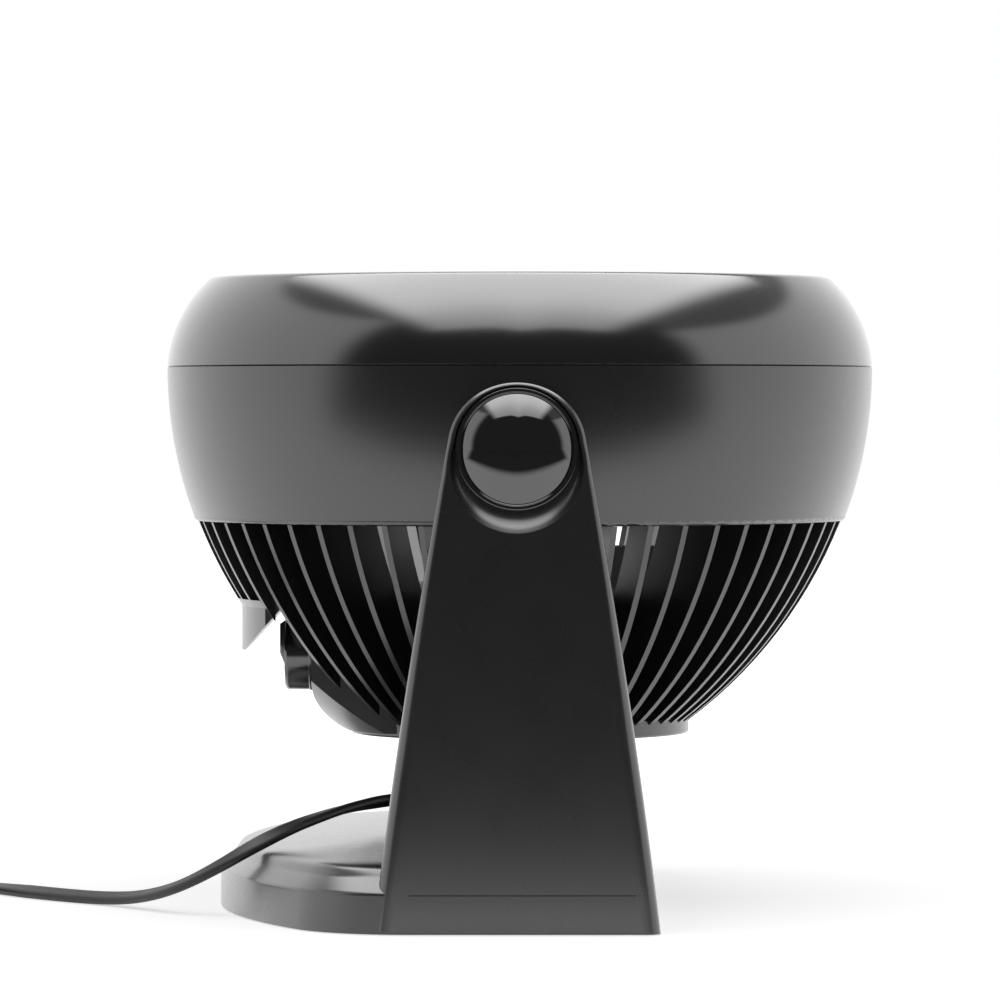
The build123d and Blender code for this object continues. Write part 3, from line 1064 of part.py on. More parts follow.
def arm_rim(body, side):
    """The outer face's long edges: round the top and down both sides."""
    rim = []
    for edge in body.edges():
        middle = edge @ 0.5
        outermost = side * middle.Y > arm_face_y(max(middle.Z, ARM_LEAN_START)) - 0.5
        crosswise = abs((edge @ 0).X + (edge @ 1).X) < 1.0 and middle.Z < PIVOT_HEIGHT
        if outermost and not crosswise:
            rim.append(edge)
    return rim


def arm_screw_spots():
    """Where the inner cover is screwed to the arm: X and height."""
    return [(0.0, WAIST_HEIGHT + 30), (-18.0, WAIST_HEIGHT - 38), (18.0, WAIST_HEIGHT - 38)]


def socket(side):
    """What is cut from the arm for the cap: round seat, scoop below it and the screw's hole."""
    seat = across(*sorted((side * SOCKET_FLOOR_Y, side * (STAND_HALF_WIDTH + 2))), SOCKET_RADIUS)
    hole = across(*sorted((side * (SOCKET_BACK_Y - 2), side * STAND_HALF_WIDTH)), CAP_BORE_RADIUS)
    floor_ring = Pos(0, side * SOCKET_FLOOR_Y, PIVOT_HEIGHT) * Rot(90, 0, 0) * Circle(SOCKET_RADIUS)
    brink_y = arm_face_y(PIVOT_HEIGHT - SOCKET_RADIUS) + 0.2
    brink = Pos(0, side * brink_y, PIVOT_HEIGHT - SCOOP_DROP) * Rot(90, 0, 0) * Circle(SOCKET_RADIUS + 1.2)
    return seat + [hole, loft([floor_ring, brink])]


def stand_frame():
    """The stand as one moulding: hollow base with both arms."""
    base = base_body(0.0, FOOT_PROUD, 0.0)
    hollow = base_body(BASE_SHELL, FOOT_PROUD, BASE_SHELL)
    bosses = [upright(x, y, BASE_BOSS_LOW, BASE_CROWN_HEIGHT - BASE_SHELL, BOSS_RADIUS + 0.5) & base
              for x, y in base_screw_spots()]
    bites = [upright(x, y, BASE_BOSS_LOW - 1, BASE_BOSS_LOW + SCREW_LENGTH - 1, SCREW_RADIUS + 0.02)
             for x, y in base_screw_spots()]
    return (base - hollow) + bosses + [arm(side) for side in SIDES] - bites


def base_screw_spots():
    """Where the bottom plate is screwed to the base: X and Y."""
    inset_y = STAND_HALF_WIDTH - BASE_BOSS_SIDE_INSET
    return [(TOE_X + BASE_BOSS_INSET + 4, 0.0), (BASE_FRONT_X - BASE_BOSS_INSET, 0.0),
            (-18.0, -inset_y), (-18.0, inset_y),
            (BASE_FRONT_X - BASE_BOSS_INSET, -inset_y), (BASE_FRONT_X - BASE_BOSS_INSET, inset_y)]


def foot_spots():
    """Middles of the four rubber feet: X and Y."""
    side = STAND_HALF_WIDTH - FOOT_INSET
    return [(TOE_X + TOE_FOOT_INSET, -TOE_FOOT_Y), (TOE_X + TOE_FOOT_INSET, TOE_FOOT_Y),
            (BASE_FRONT_X - FOOT_INSET, -side), (BASE_FRONT_X - FOOT_INSET, side)]


def base_cover():
    """Bottom plate inside the base's wall, with pillars, screw seats and pockets for the feet."""
    plan = base_outline(BASE_SHELL + SEAT_PLAY, FOOT_PROUD + BASE_COVER_THICKNESS)
    plate = Pos(0, 0, FOOT_PROUD) * extrude(plan, BASE_COVER_THICKNESS)
    pillars = [upright(x, y, FOOT_PROUD, BASE_BOSS_LOW, BOSS_RADIUS + 1.5) for x, y in base_screw_spots()]
    holes = [upright(x, y, FOOT_PROUD - 1, BASE_BOSS_LOW + 1, SCREW_RADIUS + 0.1) for x, y in base_screw_spots()]
    seats = [upright(x, y, FOOT_PROUD - 1, BASE_HEAD_SEAT, SCREW_HEAD_RADIUS + SEAT_PLAY)
             for x, y in base_screw_spots()]
    pockets = [upright(x, y, FOOT_PROUD - 1, FOOT_THICKNESS, FOOT_RADIUS + SEAT_PLAY / 2) for x, y in foot_spots()]
    return plate + pillars - holes - seats - pockets


def rubber_feet():
    """Four round pads that stand a little proud of the bottom plate."""
    return [upright(x, y, 0.0, FOOT_THICKNESS, FOOT_RADIUS) for x, y in foot_spots()]


def base_screws():
    """Screws of the bottom plate, heads sunk in their seats."""
    one = screw(SCREW_RADIUS, SCREW_HEAD_RADIUS, SCREW_HEAD_HEIGHT, SCREW_LENGTH)
    return [Pos(x, y, BASE_HEAD_SEAT) * one for x, y in base_screw_spots()]


def arm_cover(side):
    """Inner cover of an arm, which the trunnion turns in."""
    plate = arm_slab(side, ARM_WALL + SEAT_PLAY, ARM_HOLLOW_FOOT + SEAT_PLAY, ARM_INNER_Y, 0.0)
    plate = plate & block((-200, 200), sorted((side * ARM_INNER_Y, side * COVER_FACE_Y)), (0, 300))
    bore = across(*sorted((side * ARM_INNER_Y, side * COVER_FACE_Y)), TRUNNION_RADIUS + TRUNNION_PLAY)
    holes = [across(*sorted((side * (ARM_INNER_Y - 1), side * (COVER_FACE_Y + 1))), SCREW_RADIUS + 0.1, x, z)
             for x, z in arm_screw_spots()]
    seats = [across(*sorted((side * (ARM_INNER_Y - 1), side * (ARM_INNER_Y + SCREW_HEAD_HEIGHT / 2 + 0.2))),
                    SCREW_HEAD_RADIUS + SEAT_PLAY, x, z) for x, z in arm_screw_spots()]
    return plate - bore - holes - seats


def arm_screws():
    """Screws of both inner covers, put in from the head's side."""
    one = screw(SCREW_RADIUS, SCREW_HEAD_RADIUS, SCREW_HEAD_HEIGHT / 2, SCREW_LENGTH - 4)
    return [Pos(x, side * (ARM_INNER_Y + SCREW_HEAD_HEIGHT / 2 + 0.2), z) * Rot(-90 * side, 0, 0) * one
            for side in SIDES for x, z in arm_screw_spots()]


def pivot_cap(side):
    """Glossy domed cap with a flat rim and a skirt that snaps into the socket's hole."""
    skirt, brim, peak = CAP_BORE_RADIUS - SEAT_PLAY, CAP_RIM_THICKNESS, CAP_RIM_THICKNESS + CAP_DOME
    inner, low = skirt - 1.4, -CAP_SKIRT_DEPTH
    outside = revolve(Plane.XZ * make_face([
        *Polyline((0, low), (skirt, low), (skirt, 0), (CAP_RIM_RADIUS, 0), (CAP_RIM_RADIUS, brim * 0.5)).edges(),
        ThreePointArc((CAP_RIM_RADIUS, brim * 0.5), (CAP_RIM_RADIUS - 0.2, brim * 0.86), (CAP_RIM_RADIUS - 0.8, brim)),
        Line((CAP_RIM_RADIUS - 0.8, brim), (CAP_RADIUS, brim)),
        dome_arc(CAP_RADIUS, brim, CAP_DOME),
        Line((0, peak), (0, low))]), Axis.Z)
    room = revolve(Plane.XZ * make_face([
        *Polyline((0, low - 1), (inner, low - 1), (inner, brim - 0.4)).edges(),
        dome_arc(inner, brim - 0.4, CAP_DOME - 1.4),
        Line((0, peak - 1.8), (0, low - 1))]), Axis.Z)
    return Pos(0, side * SOCKET_FLOOR_Y, PIVOT_HEIGHT) * Rot(-90 * side, 0, 0) * (outside - room)


# ---------------------------------------------------------------- power cord


def cord_path(points):
    """Straight runs joined by tangent arcs as large as the runs allow, and the arcs' radii."""
    places = [Vector(*point) for point in points]
    radii = []
    for before, here, after in zip(places, places[1:], places[2:]):
        shorter = min((here - before).length, (after - here).length)
        half_turn = radians((here - before).get_angle(after - here)) / 2
        radii.append(0.45 * shorter / tan(half_turn))
    return FilletPolyline(*places, radius=radii), radii


def tube(path, radius):
    """A round tube along a centre line."""
    return sweep(Plane(origin=path @ 0, z_dir=path % 0) * Circle(radius), path)


# from the strain relief's tip down to the base, and over its crown to the arm's edge
SLACK_POINTS = [(CORD_EXIT_X, 0, PIVOT_HEIGHT + COVER_LEVEL - RELIEF_LENGTH), (CORD_EXIT_X, 0, 38.2),
                (27.2, -1.2, 34.9), (20.0, -3.2, 33.9), (8.0, -7.0, 34.2), (-10.0, -13.0, 35.4),
                (-28.0, -19.0, 36.3), (-42.0, -26.0, 36.2)]
# on over the toe's edge, down to the table and along it towards the coil
LEAD_POINTS = [(-56.0, -38.5, 34.6), (-66.0, -50.5, 32.4), (-76.0, -61.5, 29.6), (-87.0, -68.5, 24.8),
               (-99.5, -68.5, 16.9), (-110.5, -61.5, 10.5), (-120.0, -48.5, 6.2), (-130.5, -33.0, 3.2),
               (-143.0, -19.0, CORD_REST), (-157.0, -5.5, CORD_REST), (-170.0, 9.5, CORD_REST),
               (-182.0, 27.0, CORD_REST)]


def coil_place(turns):
    """Place on the coil after some turns: the radius swings in and out while the layers climb."""
    per_layer = COIL_TURNS_A_LAYER
    layer, share = divmod(turns / per_layer, 1.0)
    inward = share if layer % 2 == 0 else 1.0 - share
    radius = COIL_MEAN_RADIUS + COIL_PITCH * per_layer * (0.5 - inward)
    climb = 0.0
    for reversal in range(1, COIL_LAYERS):
        part = min(max((turns - reversal * per_layer) / 0.5 + 0.5, 0.0), 1.0)
        climb += part * part * (3 - 2 * part)
    angle = radians(COIL_START_ANGLE) + 2 * pi * turns
    return Vector(COIL_X + radius * cos(angle), COIL_Y + radius * sin(angle), CORD_REST + climb * COIL_LAYER_PITCH)


def coil_heading(turns):
    """Direction of the coil's centre line after some turns."""
    step = 0.02
    last = COIL_LAYERS * COIL_TURNS_A_LAYER
    before, after = coil_place(max(turns - step, 0)), coil_place(min(turns + step, last))
    return (after - before).normalized()


def biarc(start, start_heading, end, end_heading):
    """Two arcs that leave start and reach end along the given headings."""
    chord = end - start
    both = start_heading + end_heading
    a = 2 * (start_heading.dot(end_heading) - 1)
    b = -2 * chord.dot(both)
    c = chord.dot(chord)
    reach = (-b - sqrt(b * b - 4 * a * c)) / (2 * a) if abs(a) > 1e-9 else -c / b
    first, second = start + start_heading * reach, end - end_heading * reach
    joint = (first + second) * 0.5
    return [TangentArc(start, joint, tangent=start_heading), TangentArc(joint, end, tangent=second - first)]


def coil_path():
    """The coil's centre line: biarcs of a quarter turn, with a short straight at each end."""
    quarters = 4 * COIL_LAYERS * COIL_TURNS_A_LAYER
    knots = [index / 4 for index in range(quarters + 1)]
    first, last = coil_heading(0), coil_heading(knots[-1])
    edges = [Line(coil_place(0) - first * CORD_DIAMETER, coil_place(0))]
    for here, there in zip(knots, knots[1:]):
        edges += biarc(coil_place(here), coil_heading(here), coil_place(there), coil_heading(there))
    edges.append(Line(coil_place(knots[-1]), coil_place(knots[-1]) + last * CORD_DIAMETER))
    return Wire(edges)


def coil_gap():
    """Least gap between turns of the coil, measured on points along it."""
    steps = 48
    count = steps * COIL_LAYERS * COIL_TURNS_A_LAYER
    places = [coil_place(index / steps) for index in range(count + 1)]
    least = min((here - other).length for index, here in enumerate(places) for other in places[index + steps // 4:])
    return least - CORD_DIAMETER


def slack_route():
    """The hanging part of the cord, which follows the head when it tilts."""
    return [*SLACK_POINTS, halfway(SLACK_POINTS[-1], LEAD_POINTS[0])]


def lead_route():
    """The part of the cord that lies on the stand and the table, up to the coil."""
    end = coil_place(0) - coil_heading(0) * CORD_DIAMETER
    return [halfway(SLACK_POINTS[-1], LEAD_POINTS[0]), *LEAD_POINTS, end - coil_heading(0) * 16.0, end]


def tail_route():
    """From the coil's last turn down to the plug on the table."""
    last = COIL_LAYERS * COIL_TURNS_A_LAYER
    start = coil_place(last) + coil_heading(last) * CORD_DIAMETER
    along = start + coil_heading(last) * 12.0
    return [start, along, Vector(along.X - 12.0, along.Y + 10.0, along.Z - 2.2),
            Vector(along.X - 26.0, along.Y + 16.0, along.Z - 7.4),
            Vector(along.X - 39.0, along.Y + 17.5, PLUG_HEIGHT / 2),
            Vector(along.X - 50.0, along.Y + 16.5, PLUG_HEIGHT / 2)]


def halfway(one, other):
    """The place midway between two."""
    return tuple((a + b) / 2 for a, b in zip(one, other))


def plug_place():
    """Frame of the plug: origin where the cord enters it, +X along the plug."""
    before, end = tail_route()[-2:]
    return Plane(origin=(end.X, end.Y, end.Z), x_dir=(end.X - before.X, end.Y - before.Y, 0), z_dir=(0, 0, 1))


def plug_body():
    """Moulded plug: neck round the cord, then a body that widens to the grip."""
    shoulder, end = PLUG_NECK_LENGTH, PLUG_NECK_LENGTH + PLUG_LENGTH
    neck = loft([Plane.YZ * SlotOverall(CORD_DIAMETER + 4.2, CORD_DIAMETER + 2.4),
                 Plane.YZ.offset(shoulder + 1.0) * SlotOverall(PLUG_WIDTH * 0.62, PLUG_HEIGHT * 0.72)], ruled=True)
    body = loft([Plane.YZ.offset(shoulder) * RectangleRounded(PLUG_WIDTH * 0.74, PLUG_HEIGHT * 0.84, 3.0),
                 Plane.YZ.offset(shoulder + PLUG_LENGTH * 0.5) * RectangleRounded(
                     PLUG_WIDTH * 0.8, PLUG_HEIGHT * 0.9, 3.0),
                 Plane.YZ.offset(end) * RectangleRounded(PLUG_WIDTH, PLUG_HEIGHT, 3.0)], ruled=True)
    slots = [Pos(end, y, 0) * Box(16.0, BLADE_PRONG_THICKNESS + 0.04, BLADE_PRONG_WIDTH + 0.04)
             for y in prong_rows()]
    return plug_place().location * (neck + body - slots)


def prong_rows():
    """Offsets of the two prongs from the plug's axis."""
    return (-BLADE_PRONG_SPACING / 2, BLADE_PRONG_SPACING / 2)


def plug_prongs():
    """Two flat prongs, each with its hole near the tip."""
    reach = PLUG_NECK_LENGTH + PLUG_LENGTH
    prongs = []
    for y in prong_rows():
        blade = Pos(reach + BLADE_PRONG_LENGTH / 2 - 4.0, y, 0) * Box(
            BLADE_PRONG_LENGTH + 8.0, BLADE_PRONG_THICKNESS, BLADE_PRONG_WIDTH)
        blade = chamfer(blade.edges().filter_by(Axis.Y).group_by(Axis.X)[-1], 1.4)
        hole = Pos(reach + BLADE_PRONG_LENGTH - 4.0, y, 0) * Rot(90, 0, 0) * Cylinder(1.6, 9)
        prongs.append(plug_place().location * (blade - hole))
    return prongs


# ---------------------------------------------------------------- wiring inside the hub


def inner_wires():
    """Two leads inside the hub: strain relief to switch, and switch to motor."""
    level = PIVOT_HEIGHT + HUB_LEVEL
    tab_x, tab_low = SHELF_X + WALL + SWITCH_DEPTH + 3.5, KNOB_HEIGHT_ABOVE_TABLE - 0.4
    routes = [
        [(CORD_EXIT_X, 0, level + RELIEF_FLANGE_THICKNESS), (CORD_EXIT_X, 0, level + 6.4),
         (CORD_EXIT_X - 8, 3, level + 8.0), (6, 10, level + 7.4), (-14, 13, level + 7.8),
         (-34, 10.5, level + 7.4), (-46, 8.8, level + 9.0), (tab_x, 8.0, tab_low - 8.0), (tab_x, 8.0, tab_low)],
        [(tab_x, -8.0, tab_low), (tab_x, -8.0, tab_low - 8.0), (-45, -11.5, level + 8.6), (-29, -16, level + 7.4),
         (-17.5, -17.5, level + 8.4), (-17.5, -17.5, PIVOT_HEIGHT + rear_bracket_level())],
    ]
    return [tube(cord_path(route)[0], WIRE_RADIUS) for route in routes]


# ---------------------------------------------------------------- the parts

os.makedirs("parts", exist_ok=True)

cord, cord_length = {}, 0.0
for name, (path, radii) in {"slack": cord_path(slack_route()), "lead": cord_path(lead_route()),
                            "coil": (coil_path(), []), "tail": cord_path(tail_route())}.items():
    cord[name] = tube(path, CORD_DIAMETER / 2)
    cord_length += path.length
    share = cord[name].volume / (pi * CORD_DIAMETER ** 2 / 4 * path.length)
    print(f"cord {name}: {path.length:.0f} mm, volume is {share:.3f} of section times length, arc radii",
          [round(radius, 1) for radius in radii])
print(f"cord in all: {cord_length:.0f} mm, least gap in the coil {coil_gap():.2f} mm")

nodes = {
    "stand_frame": stand_frame(),
    "arm_cover_near": arm_cover(-1),
    "arm_cover_far": arm_cover(1),
    "arm_screws": arm_screws(),
    "pivot_cap_near": pivot_cap(-1),
    "pivot_cap_far": pivot_cap(1),
    "base_cover": base_cover(),
    "base_screws": base_screws(),
    "rubber_feet": rubber_feet(),
    "front_ring": front_ring(),
    "front_grille": front_grille(),
    "air_duct": air_duct(),
    "duct_screws": duct_screws(),
    "drum": drum(),
    "ring_screws": ring_screws(),
    "rear_cage": rear_cage(),
    "rear_cover": rear_cover(),
    "rear_cover_screws": rear_cover_screws(),
    "strain_relief": strain_relief(),
    "trunnions": [trunnion(side) for side in SIDES],
    "friction_washers": [friction_washer(side) for side in SIDES],
    "pivot_washers": [pivot_washer(side) for side in SIDES],
    "pivot_screws": [pivot_screw(side) for side in SIDES],
    "motor_front_bracket": motor_front_bracket(),
    "motor_rear_bracket": motor_rear_bracket(),
    "motor_bearings": motor_bearings(),
    "motor_stator": motor_stator(),
    "motor_windings": motor_windings(),
    "motor_screws": motor_screws(),
    "capacitor": capacitor(),
    "rotary_switch": rotary_switch(),
    "switch_nut": switch_nut(),
    "inner_wires": inner_wires(),
    "impeller": impeller(),
    "motor_shaft": motor_shaft(),
    "rotor": rotor(),
    "speed_knob": speed_knob(),
    "switch_spindle": switch_spindle(),
    "cord_slack": cord["slack"],
    "cord_lead": cord["lead"],
    "cord_coil": cord["coil"],
    "cord_tail": cord["tail"],
    "plug_body": plug_body(),
    "plug_prongs": plug_prongs(),
}
for name, shape in nodes.items():
    if isinstance(shape, list):
        shape = Compound(children=[solid for piece in shape for solid in piece.solids()])
    export_step(shape, f"parts/{name}.step")
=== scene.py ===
from math import atan2, cos, degrees, pi, radians, sin, sqrt

import bmesh
import bpy
import numpy as np
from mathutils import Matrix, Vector


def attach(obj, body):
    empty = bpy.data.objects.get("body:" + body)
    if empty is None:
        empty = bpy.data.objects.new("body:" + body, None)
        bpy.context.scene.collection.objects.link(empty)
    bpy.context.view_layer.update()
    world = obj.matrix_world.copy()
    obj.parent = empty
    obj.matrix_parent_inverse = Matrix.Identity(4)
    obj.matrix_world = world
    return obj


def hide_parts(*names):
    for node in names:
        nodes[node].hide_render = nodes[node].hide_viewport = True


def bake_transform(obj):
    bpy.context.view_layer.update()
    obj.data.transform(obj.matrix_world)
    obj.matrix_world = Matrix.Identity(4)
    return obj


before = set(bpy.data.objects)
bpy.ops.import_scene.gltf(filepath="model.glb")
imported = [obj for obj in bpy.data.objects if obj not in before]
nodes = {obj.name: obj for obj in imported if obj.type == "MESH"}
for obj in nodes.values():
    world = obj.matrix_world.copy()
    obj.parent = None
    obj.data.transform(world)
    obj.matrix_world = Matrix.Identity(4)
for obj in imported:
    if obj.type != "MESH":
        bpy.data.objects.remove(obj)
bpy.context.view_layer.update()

# ---- Camera: far off on the near side, level, and a little above the hinge, so that the rim shows as one
# line and the arm stands square to the view. The lens is long, as for a product picture, and it is
# shifted down and to the left only as far as the photograph's framing asks.
CAMERA_PLACE = (0.0147, -2.060, 0.17067)
CAMERA_LENS = 217.2
CAMERA_SHIFT = (-0.063, -0.100)
CAMERA_SENSOR = 36.0
CAMERA_REACH = 20.0

camera = bpy.data.objects.new("camera", bpy.data.cameras.new("camera"))
bpy.context.scene.collection.objects.link(camera)
camera.location = CAMERA_PLACE
camera.rotation_euler = (pi / 2, 0.0, 0.0)
camera.data.lens = CAMERA_LENS
camera.data.sensor_width = CAMERA_SENSOR
camera.data.shift_x, camera.data.shift_y = CAMERA_SHIFT
camera.data.clip_end = CAMERA_REACH
bpy.context.scene.camera = camera
bpy.context.scene.view_settings.view_transform = "Standard"

# ---- Power cord: a flat two-core vinyl cord, extruded, with a shallow groove between the cores. It leaves
# the strain relief under the head, crosses the base and the toe's edge and lies on the table, where the
# rest of it is wound into a neat coil beside the fan.
CORD_WIDTH = 0.0056
CORD_THICKNESS = 0.0032
CORD_CORNERS = 24
CORD_SQUARENESS = 3.0
CORD_GROOVE = 0.00028
CORD_GROOVE_HALF = 0.0006
CORD_STEPS = 6
CORD_PLAY = 0.00005
CORD_ON_TABLE = CORD_THICKNESS / 2 + CORD_PLAY
CORD_ON_EDGE = 0.00225
CORD_EXIT = (0.032, 0.0, 0.0435)
CORD_ROUTE = [
    CORD_EXIT, (0.032, 0.0, 0.0382), (0.0272, -0.0012, 0.0349), (0.020, -0.0032, 0.0339),
    (0.008, -0.007, 0.0342), (-0.010, -0.013, 0.0354), (-0.028, -0.019, 0.0363),
    (-0.042, -0.026, 0.0362), (-0.056, -0.0385, 0.0344), (-0.066, -0.0505, 0.0320),
    (-0.076, -0.0605, 0.0288), (-0.087, -0.0665, 0.0236), (-0.0995, -0.0665, 0.0162),
    (-0.1105, -0.0605, 0.0102), (-0.120, -0.0485, 0.0062), (-0.1305, -0.033, 0.0033),
    (-0.143, -0.019, CORD_ON_EDGE), (-0.157, -0.0055, CORD_ON_EDGE), (-0.170, 0.0095, CORD_ON_EDGE),
    (-0.182, 0.027, 0.0019)]
COIL_CENTRE = (-0.2357, 0.0405)
COIL_MEAN_RADIUS = 0.029
COIL_START_ANGLE = radians(34.0)
COIL_TURNS_A_LAYER = 2
COIL_LAYERS = 4
COIL_PITCH = 0.0064
COIL_LAYER_PITCH = 0.0038
COIL_CLIMB = 0.5
COIL_POINTS_A_TURN = 16
COIL_LEAD_IN, COIL_LEAD_OUT = 0.018, 0.0164
PLUG_AXIS_HEIGHT = 0.0075
# The tail's places on the table from the coil's end, and their heights above the table.
CORD_TAIL = [(-0.012, 0.010, 0.0112), (-0.026, 0.016, 0.0090), (-0.039, 0.0175, PLUG_AXIS_HEIGHT),
             (-0.050, 0.0165, PLUG_AXIS_HEIGHT)]
# The section's roll in degrees at places along X: the cord twists as it crosses the base.
ROLL_PLACES = [-0.190, -0.168, -0.085, -0.066, -0.048, -0.010, 0.015]
ROLL_ANGLES = [0.0, 30.0, 35.0, 0.0, -35.0, -30.0, 0.0]


def coil_line(turns):
    """Centre line of the coil: the angle grows evenly with the turns, the radius falls and rises in a
    triangle wave from layer to layer, and each layer's height is reached by a smooth step in the half
    turn round the reversal."""
    layer = turns / COIL_TURNS_A_LAYER
    inward = 1 - abs(layer % 2 - 1)
    radius = COIL_MEAN_RADIUS + COIL_PITCH * COIL_TURNS_A_LAYER * (0.5 - inward)
    layer_starts = COIL_TURNS_A_LAYER * np.arange(1, COIL_LAYERS)
    rise = np.clip((turns[:, None] - layer_starts) / COIL_CLIMB + 0.5, 0, 1)
    height = CORD_ON_TABLE + COIL_LAYER_PITCH * (rise ** 2 * (3 - 2 * rise)).sum(axis=1)
    angle = COIL_START_ANGLE + 2 * pi * turns
    away, aside = COIL_CENTRE[0] + radius * np.cos(angle), COIL_CENTRE[1] + radius * np.sin(angle)
    return np.stack([away, aside, height], axis=1)


def nurbs_line(name, points):
    """Points along an open quadratic NURBS spline that has the given points as its control points, all
    of weight 1."""
    weighted = np.append(points, np.ones((len(points), 1)), axis=1).astype(np.float32)
    curve = bpy.data.curves.new(name, "CURVE")
    curve.dimensions = "3D"
    spline = curve.splines.new("NURBS")
    spline.points.add(len(points) - 1)
    spline.points.foreach_set("co", weighted.ravel())
    spline.order_u = 3
    spline.use_endpoint_u = True
    spline.resolution_u = CORD_STEPS
    holder = bpy.data.objects.new(name, curve)
    line = bpy.data.meshes.new_from_object(holder)
    found = np.empty(len(line.vertices) * 3, np.float32)
    line.vertices.foreach_get("co", found)
    bpy.data.objects.remove(holder)
    bpy.data.curves.remove(curve)
    bpy.data.meshes.remove(line)
    return found.reshape(-1, 3).astype(float)


def unit(vectors):
    """Vectors divided by their lengths."""
    return vectors / np.linalg.norm(vectors, axis=-1, keepdims=True)


def grid_faces(rows, columns, wrap_rows=False, wrap_columns=False):
    """Quads of a grid of points stored row by row; either direction may close on itself."""
    row = np.arange(rows if wrap_rows else rows - 1)
    column = np.arange(columns if wrap_columns else columns - 1)
    row, column = [a.ravel() for a in np.meshgrid(row, column, indexing="ij")]
    below, beside = (row + 1) % rows, (column + 1) % columns
    return np.stack([row * columns + column, row * columns + beside, below * columns + beside,
                     below * columns + column], axis=1)


def mesh_piece(name, points, faces):
    """A new smooth object from points and faces, which are arrays or lists of corner numbers."""
    mesh = bpy.data.meshes.new(name)
    mesh.from_pydata(np.asarray(points).tolist(), [], [list(map(int, face)) for face in faces])
    mesh.validate()
    mesh.polygons.foreach_set("use_smooth", [True] * len(mesh.polygons))
    piece = bpy.data.objects.new(name, mesh)
    bpy.context.scene.collection.objects.link(piece)
    return piece


def swept(name, line, section, roll):
    """A closed tube: the section's points (across, up) carried along a line. Across is level and square
    to the line, and where the line runs straight down it is +Y. The section is rolled about the line by
    an angle for each of its points, and both ends are closed by one face."""
    heading = unit(np.gradient(line, axis=0))
    across = np.cross(heading, [0.0, 0.0, 1.0]) + [0.0, 1e-3, 0.0]
    across = unit(across - heading * (across * heading).sum(axis=1, keepdims=True))
    up = np.cross(across, heading)
    turn = np.broadcast_to(roll, len(line))[:, None]
    across, up = across * np.cos(turn) + up * np.sin(turn), up * np.cos(turn) - across * np.sin(turn)
    points = line[:, None] + section[None, :, :1] * across[:, None] + section[None, :, 1:] * up[:, None]
    count = len(section)
    last = len(line) * count
    faces = grid_faces(len(line), count, wrap_columns=True)[:, ::-1].tolist()
    faces += [list(range(count)), list(range(last - 1, last - count - 1, -1))]
    return mesh_piece(name, points.reshape(-1, 3), faces)


class Wire:
    """A shader socket that can be used in sums and products: each operator adds its Math node."""

    def __init__(self, tree, socket):
        self.tree, self.socket = tree, socket

    def add(self, kind, settings, sockets, output=0):
        """Any node: its type, its settings, the values or wires of its sockets, and the output wanted."""
        node = self.tree.nodes.new("ShaderNode" + kind)
        for key, value in settings.items():
            setattr(node, key, value)
        for key, value in sockets.items():
            if isinstance(value, Wire):
                self.tree.links.new(value.socket, node.inputs[key])
            elif value is not None:
                node.inputs[key].default_value = value
        return Wire(self.tree, node.outputs[output])

    def math(self, operation, one, other=None):
        """One Math node on one or two values or wires."""
        return self.add("Math", {"operation": operation}, {0: one, 1: other})

    def __add__(self, other):
        return self.math("ADD", self, other)

    def __sub__(self, other):
        return self.math("SUBTRACT", self, other)

    def __rsub__(self, other):
        return self.math("SUBTRACT", other, self)

    def __mul__(self, other):
        return self.math("MULTIPLY", self, other)

    def __pow__(self, other):
        return self.math("POWER", self, other)

    __radd__, __rmul__ = __add__, __mul__


class Finish(Wire):
    """A material with its Principled shader; as a wire it stands for the place on the object."""

    def __init__(self, name, color, roughness, **constants):
        self.material = bpy.data.materials.new(name)
        self.material.use_nodes = True
        self.tree = self.material.node_tree
        self.shader = self.tree.nodes["Principled BSDF"]
        self.shader.inputs["Base Color"].default_value = (*color, 1.0)
        self.shader.inputs["Roughness"].default_value = roughness
        for key, value in constants.items():
            self.shader.inputs[key.replace("_", " ")].default_value = value
        self.socket = self.tree.nodes.new("ShaderNodeTexCoord").outputs["Object"]

    def noise(self, scale, detail=2.0, stretch=None):
        """Noise from 0 to 1, whose features are about 1 / scale metres wide; stretch scales its axes."""
        place = self
        if stretch is not None:
            place = self.add("VectorMath", {"operation": "MULTIPLY"}, {0: self, 1: stretch})
        return self.add("TexNoise", {}, {"Vector": place, "Scale": scale, "Detail": detail})

    def mixed(self, factor, one, other):
        """A colour between two others."""
        return self.add("Mix", {"data_type": "RGBA"}, {0: factor, 6: (*one, 1.0), 7: (*other, 1.0)}, 2)

    def drive(self, socket, wire):
        """Feeds a wire to one of the shader's sockets."""
        self.tree.links.new(wire.socket, self.shader.inputs[socket])

    def bump(self, height, strength, distance):
        """Relief from a height of 0 to 1, with its depth in metres."""
        relief = self.add("Bump", {}, {"Height": height, "Strength": strength, "Distance": distance})
        self.drive("Normal", relief)


def paint(piece, finish):
    """Puts one finish on every face of a piece or of a node."""
    piece.data.materials.clear()
    piece.data.materials.append(finish.material)


cord_vinyl = Finish("cord_vinyl", (0.022, 0.022, 0.023), 0.42, IOR=1.5)
cord_vinyl.drive("Roughness", 0.36 + 0.14 * cord_vinyl.noise(260.0, 3.0))
cord_vinyl.bump(cord_vinyl.noise(1800.0, 2.0), 0.15, 0.00006)

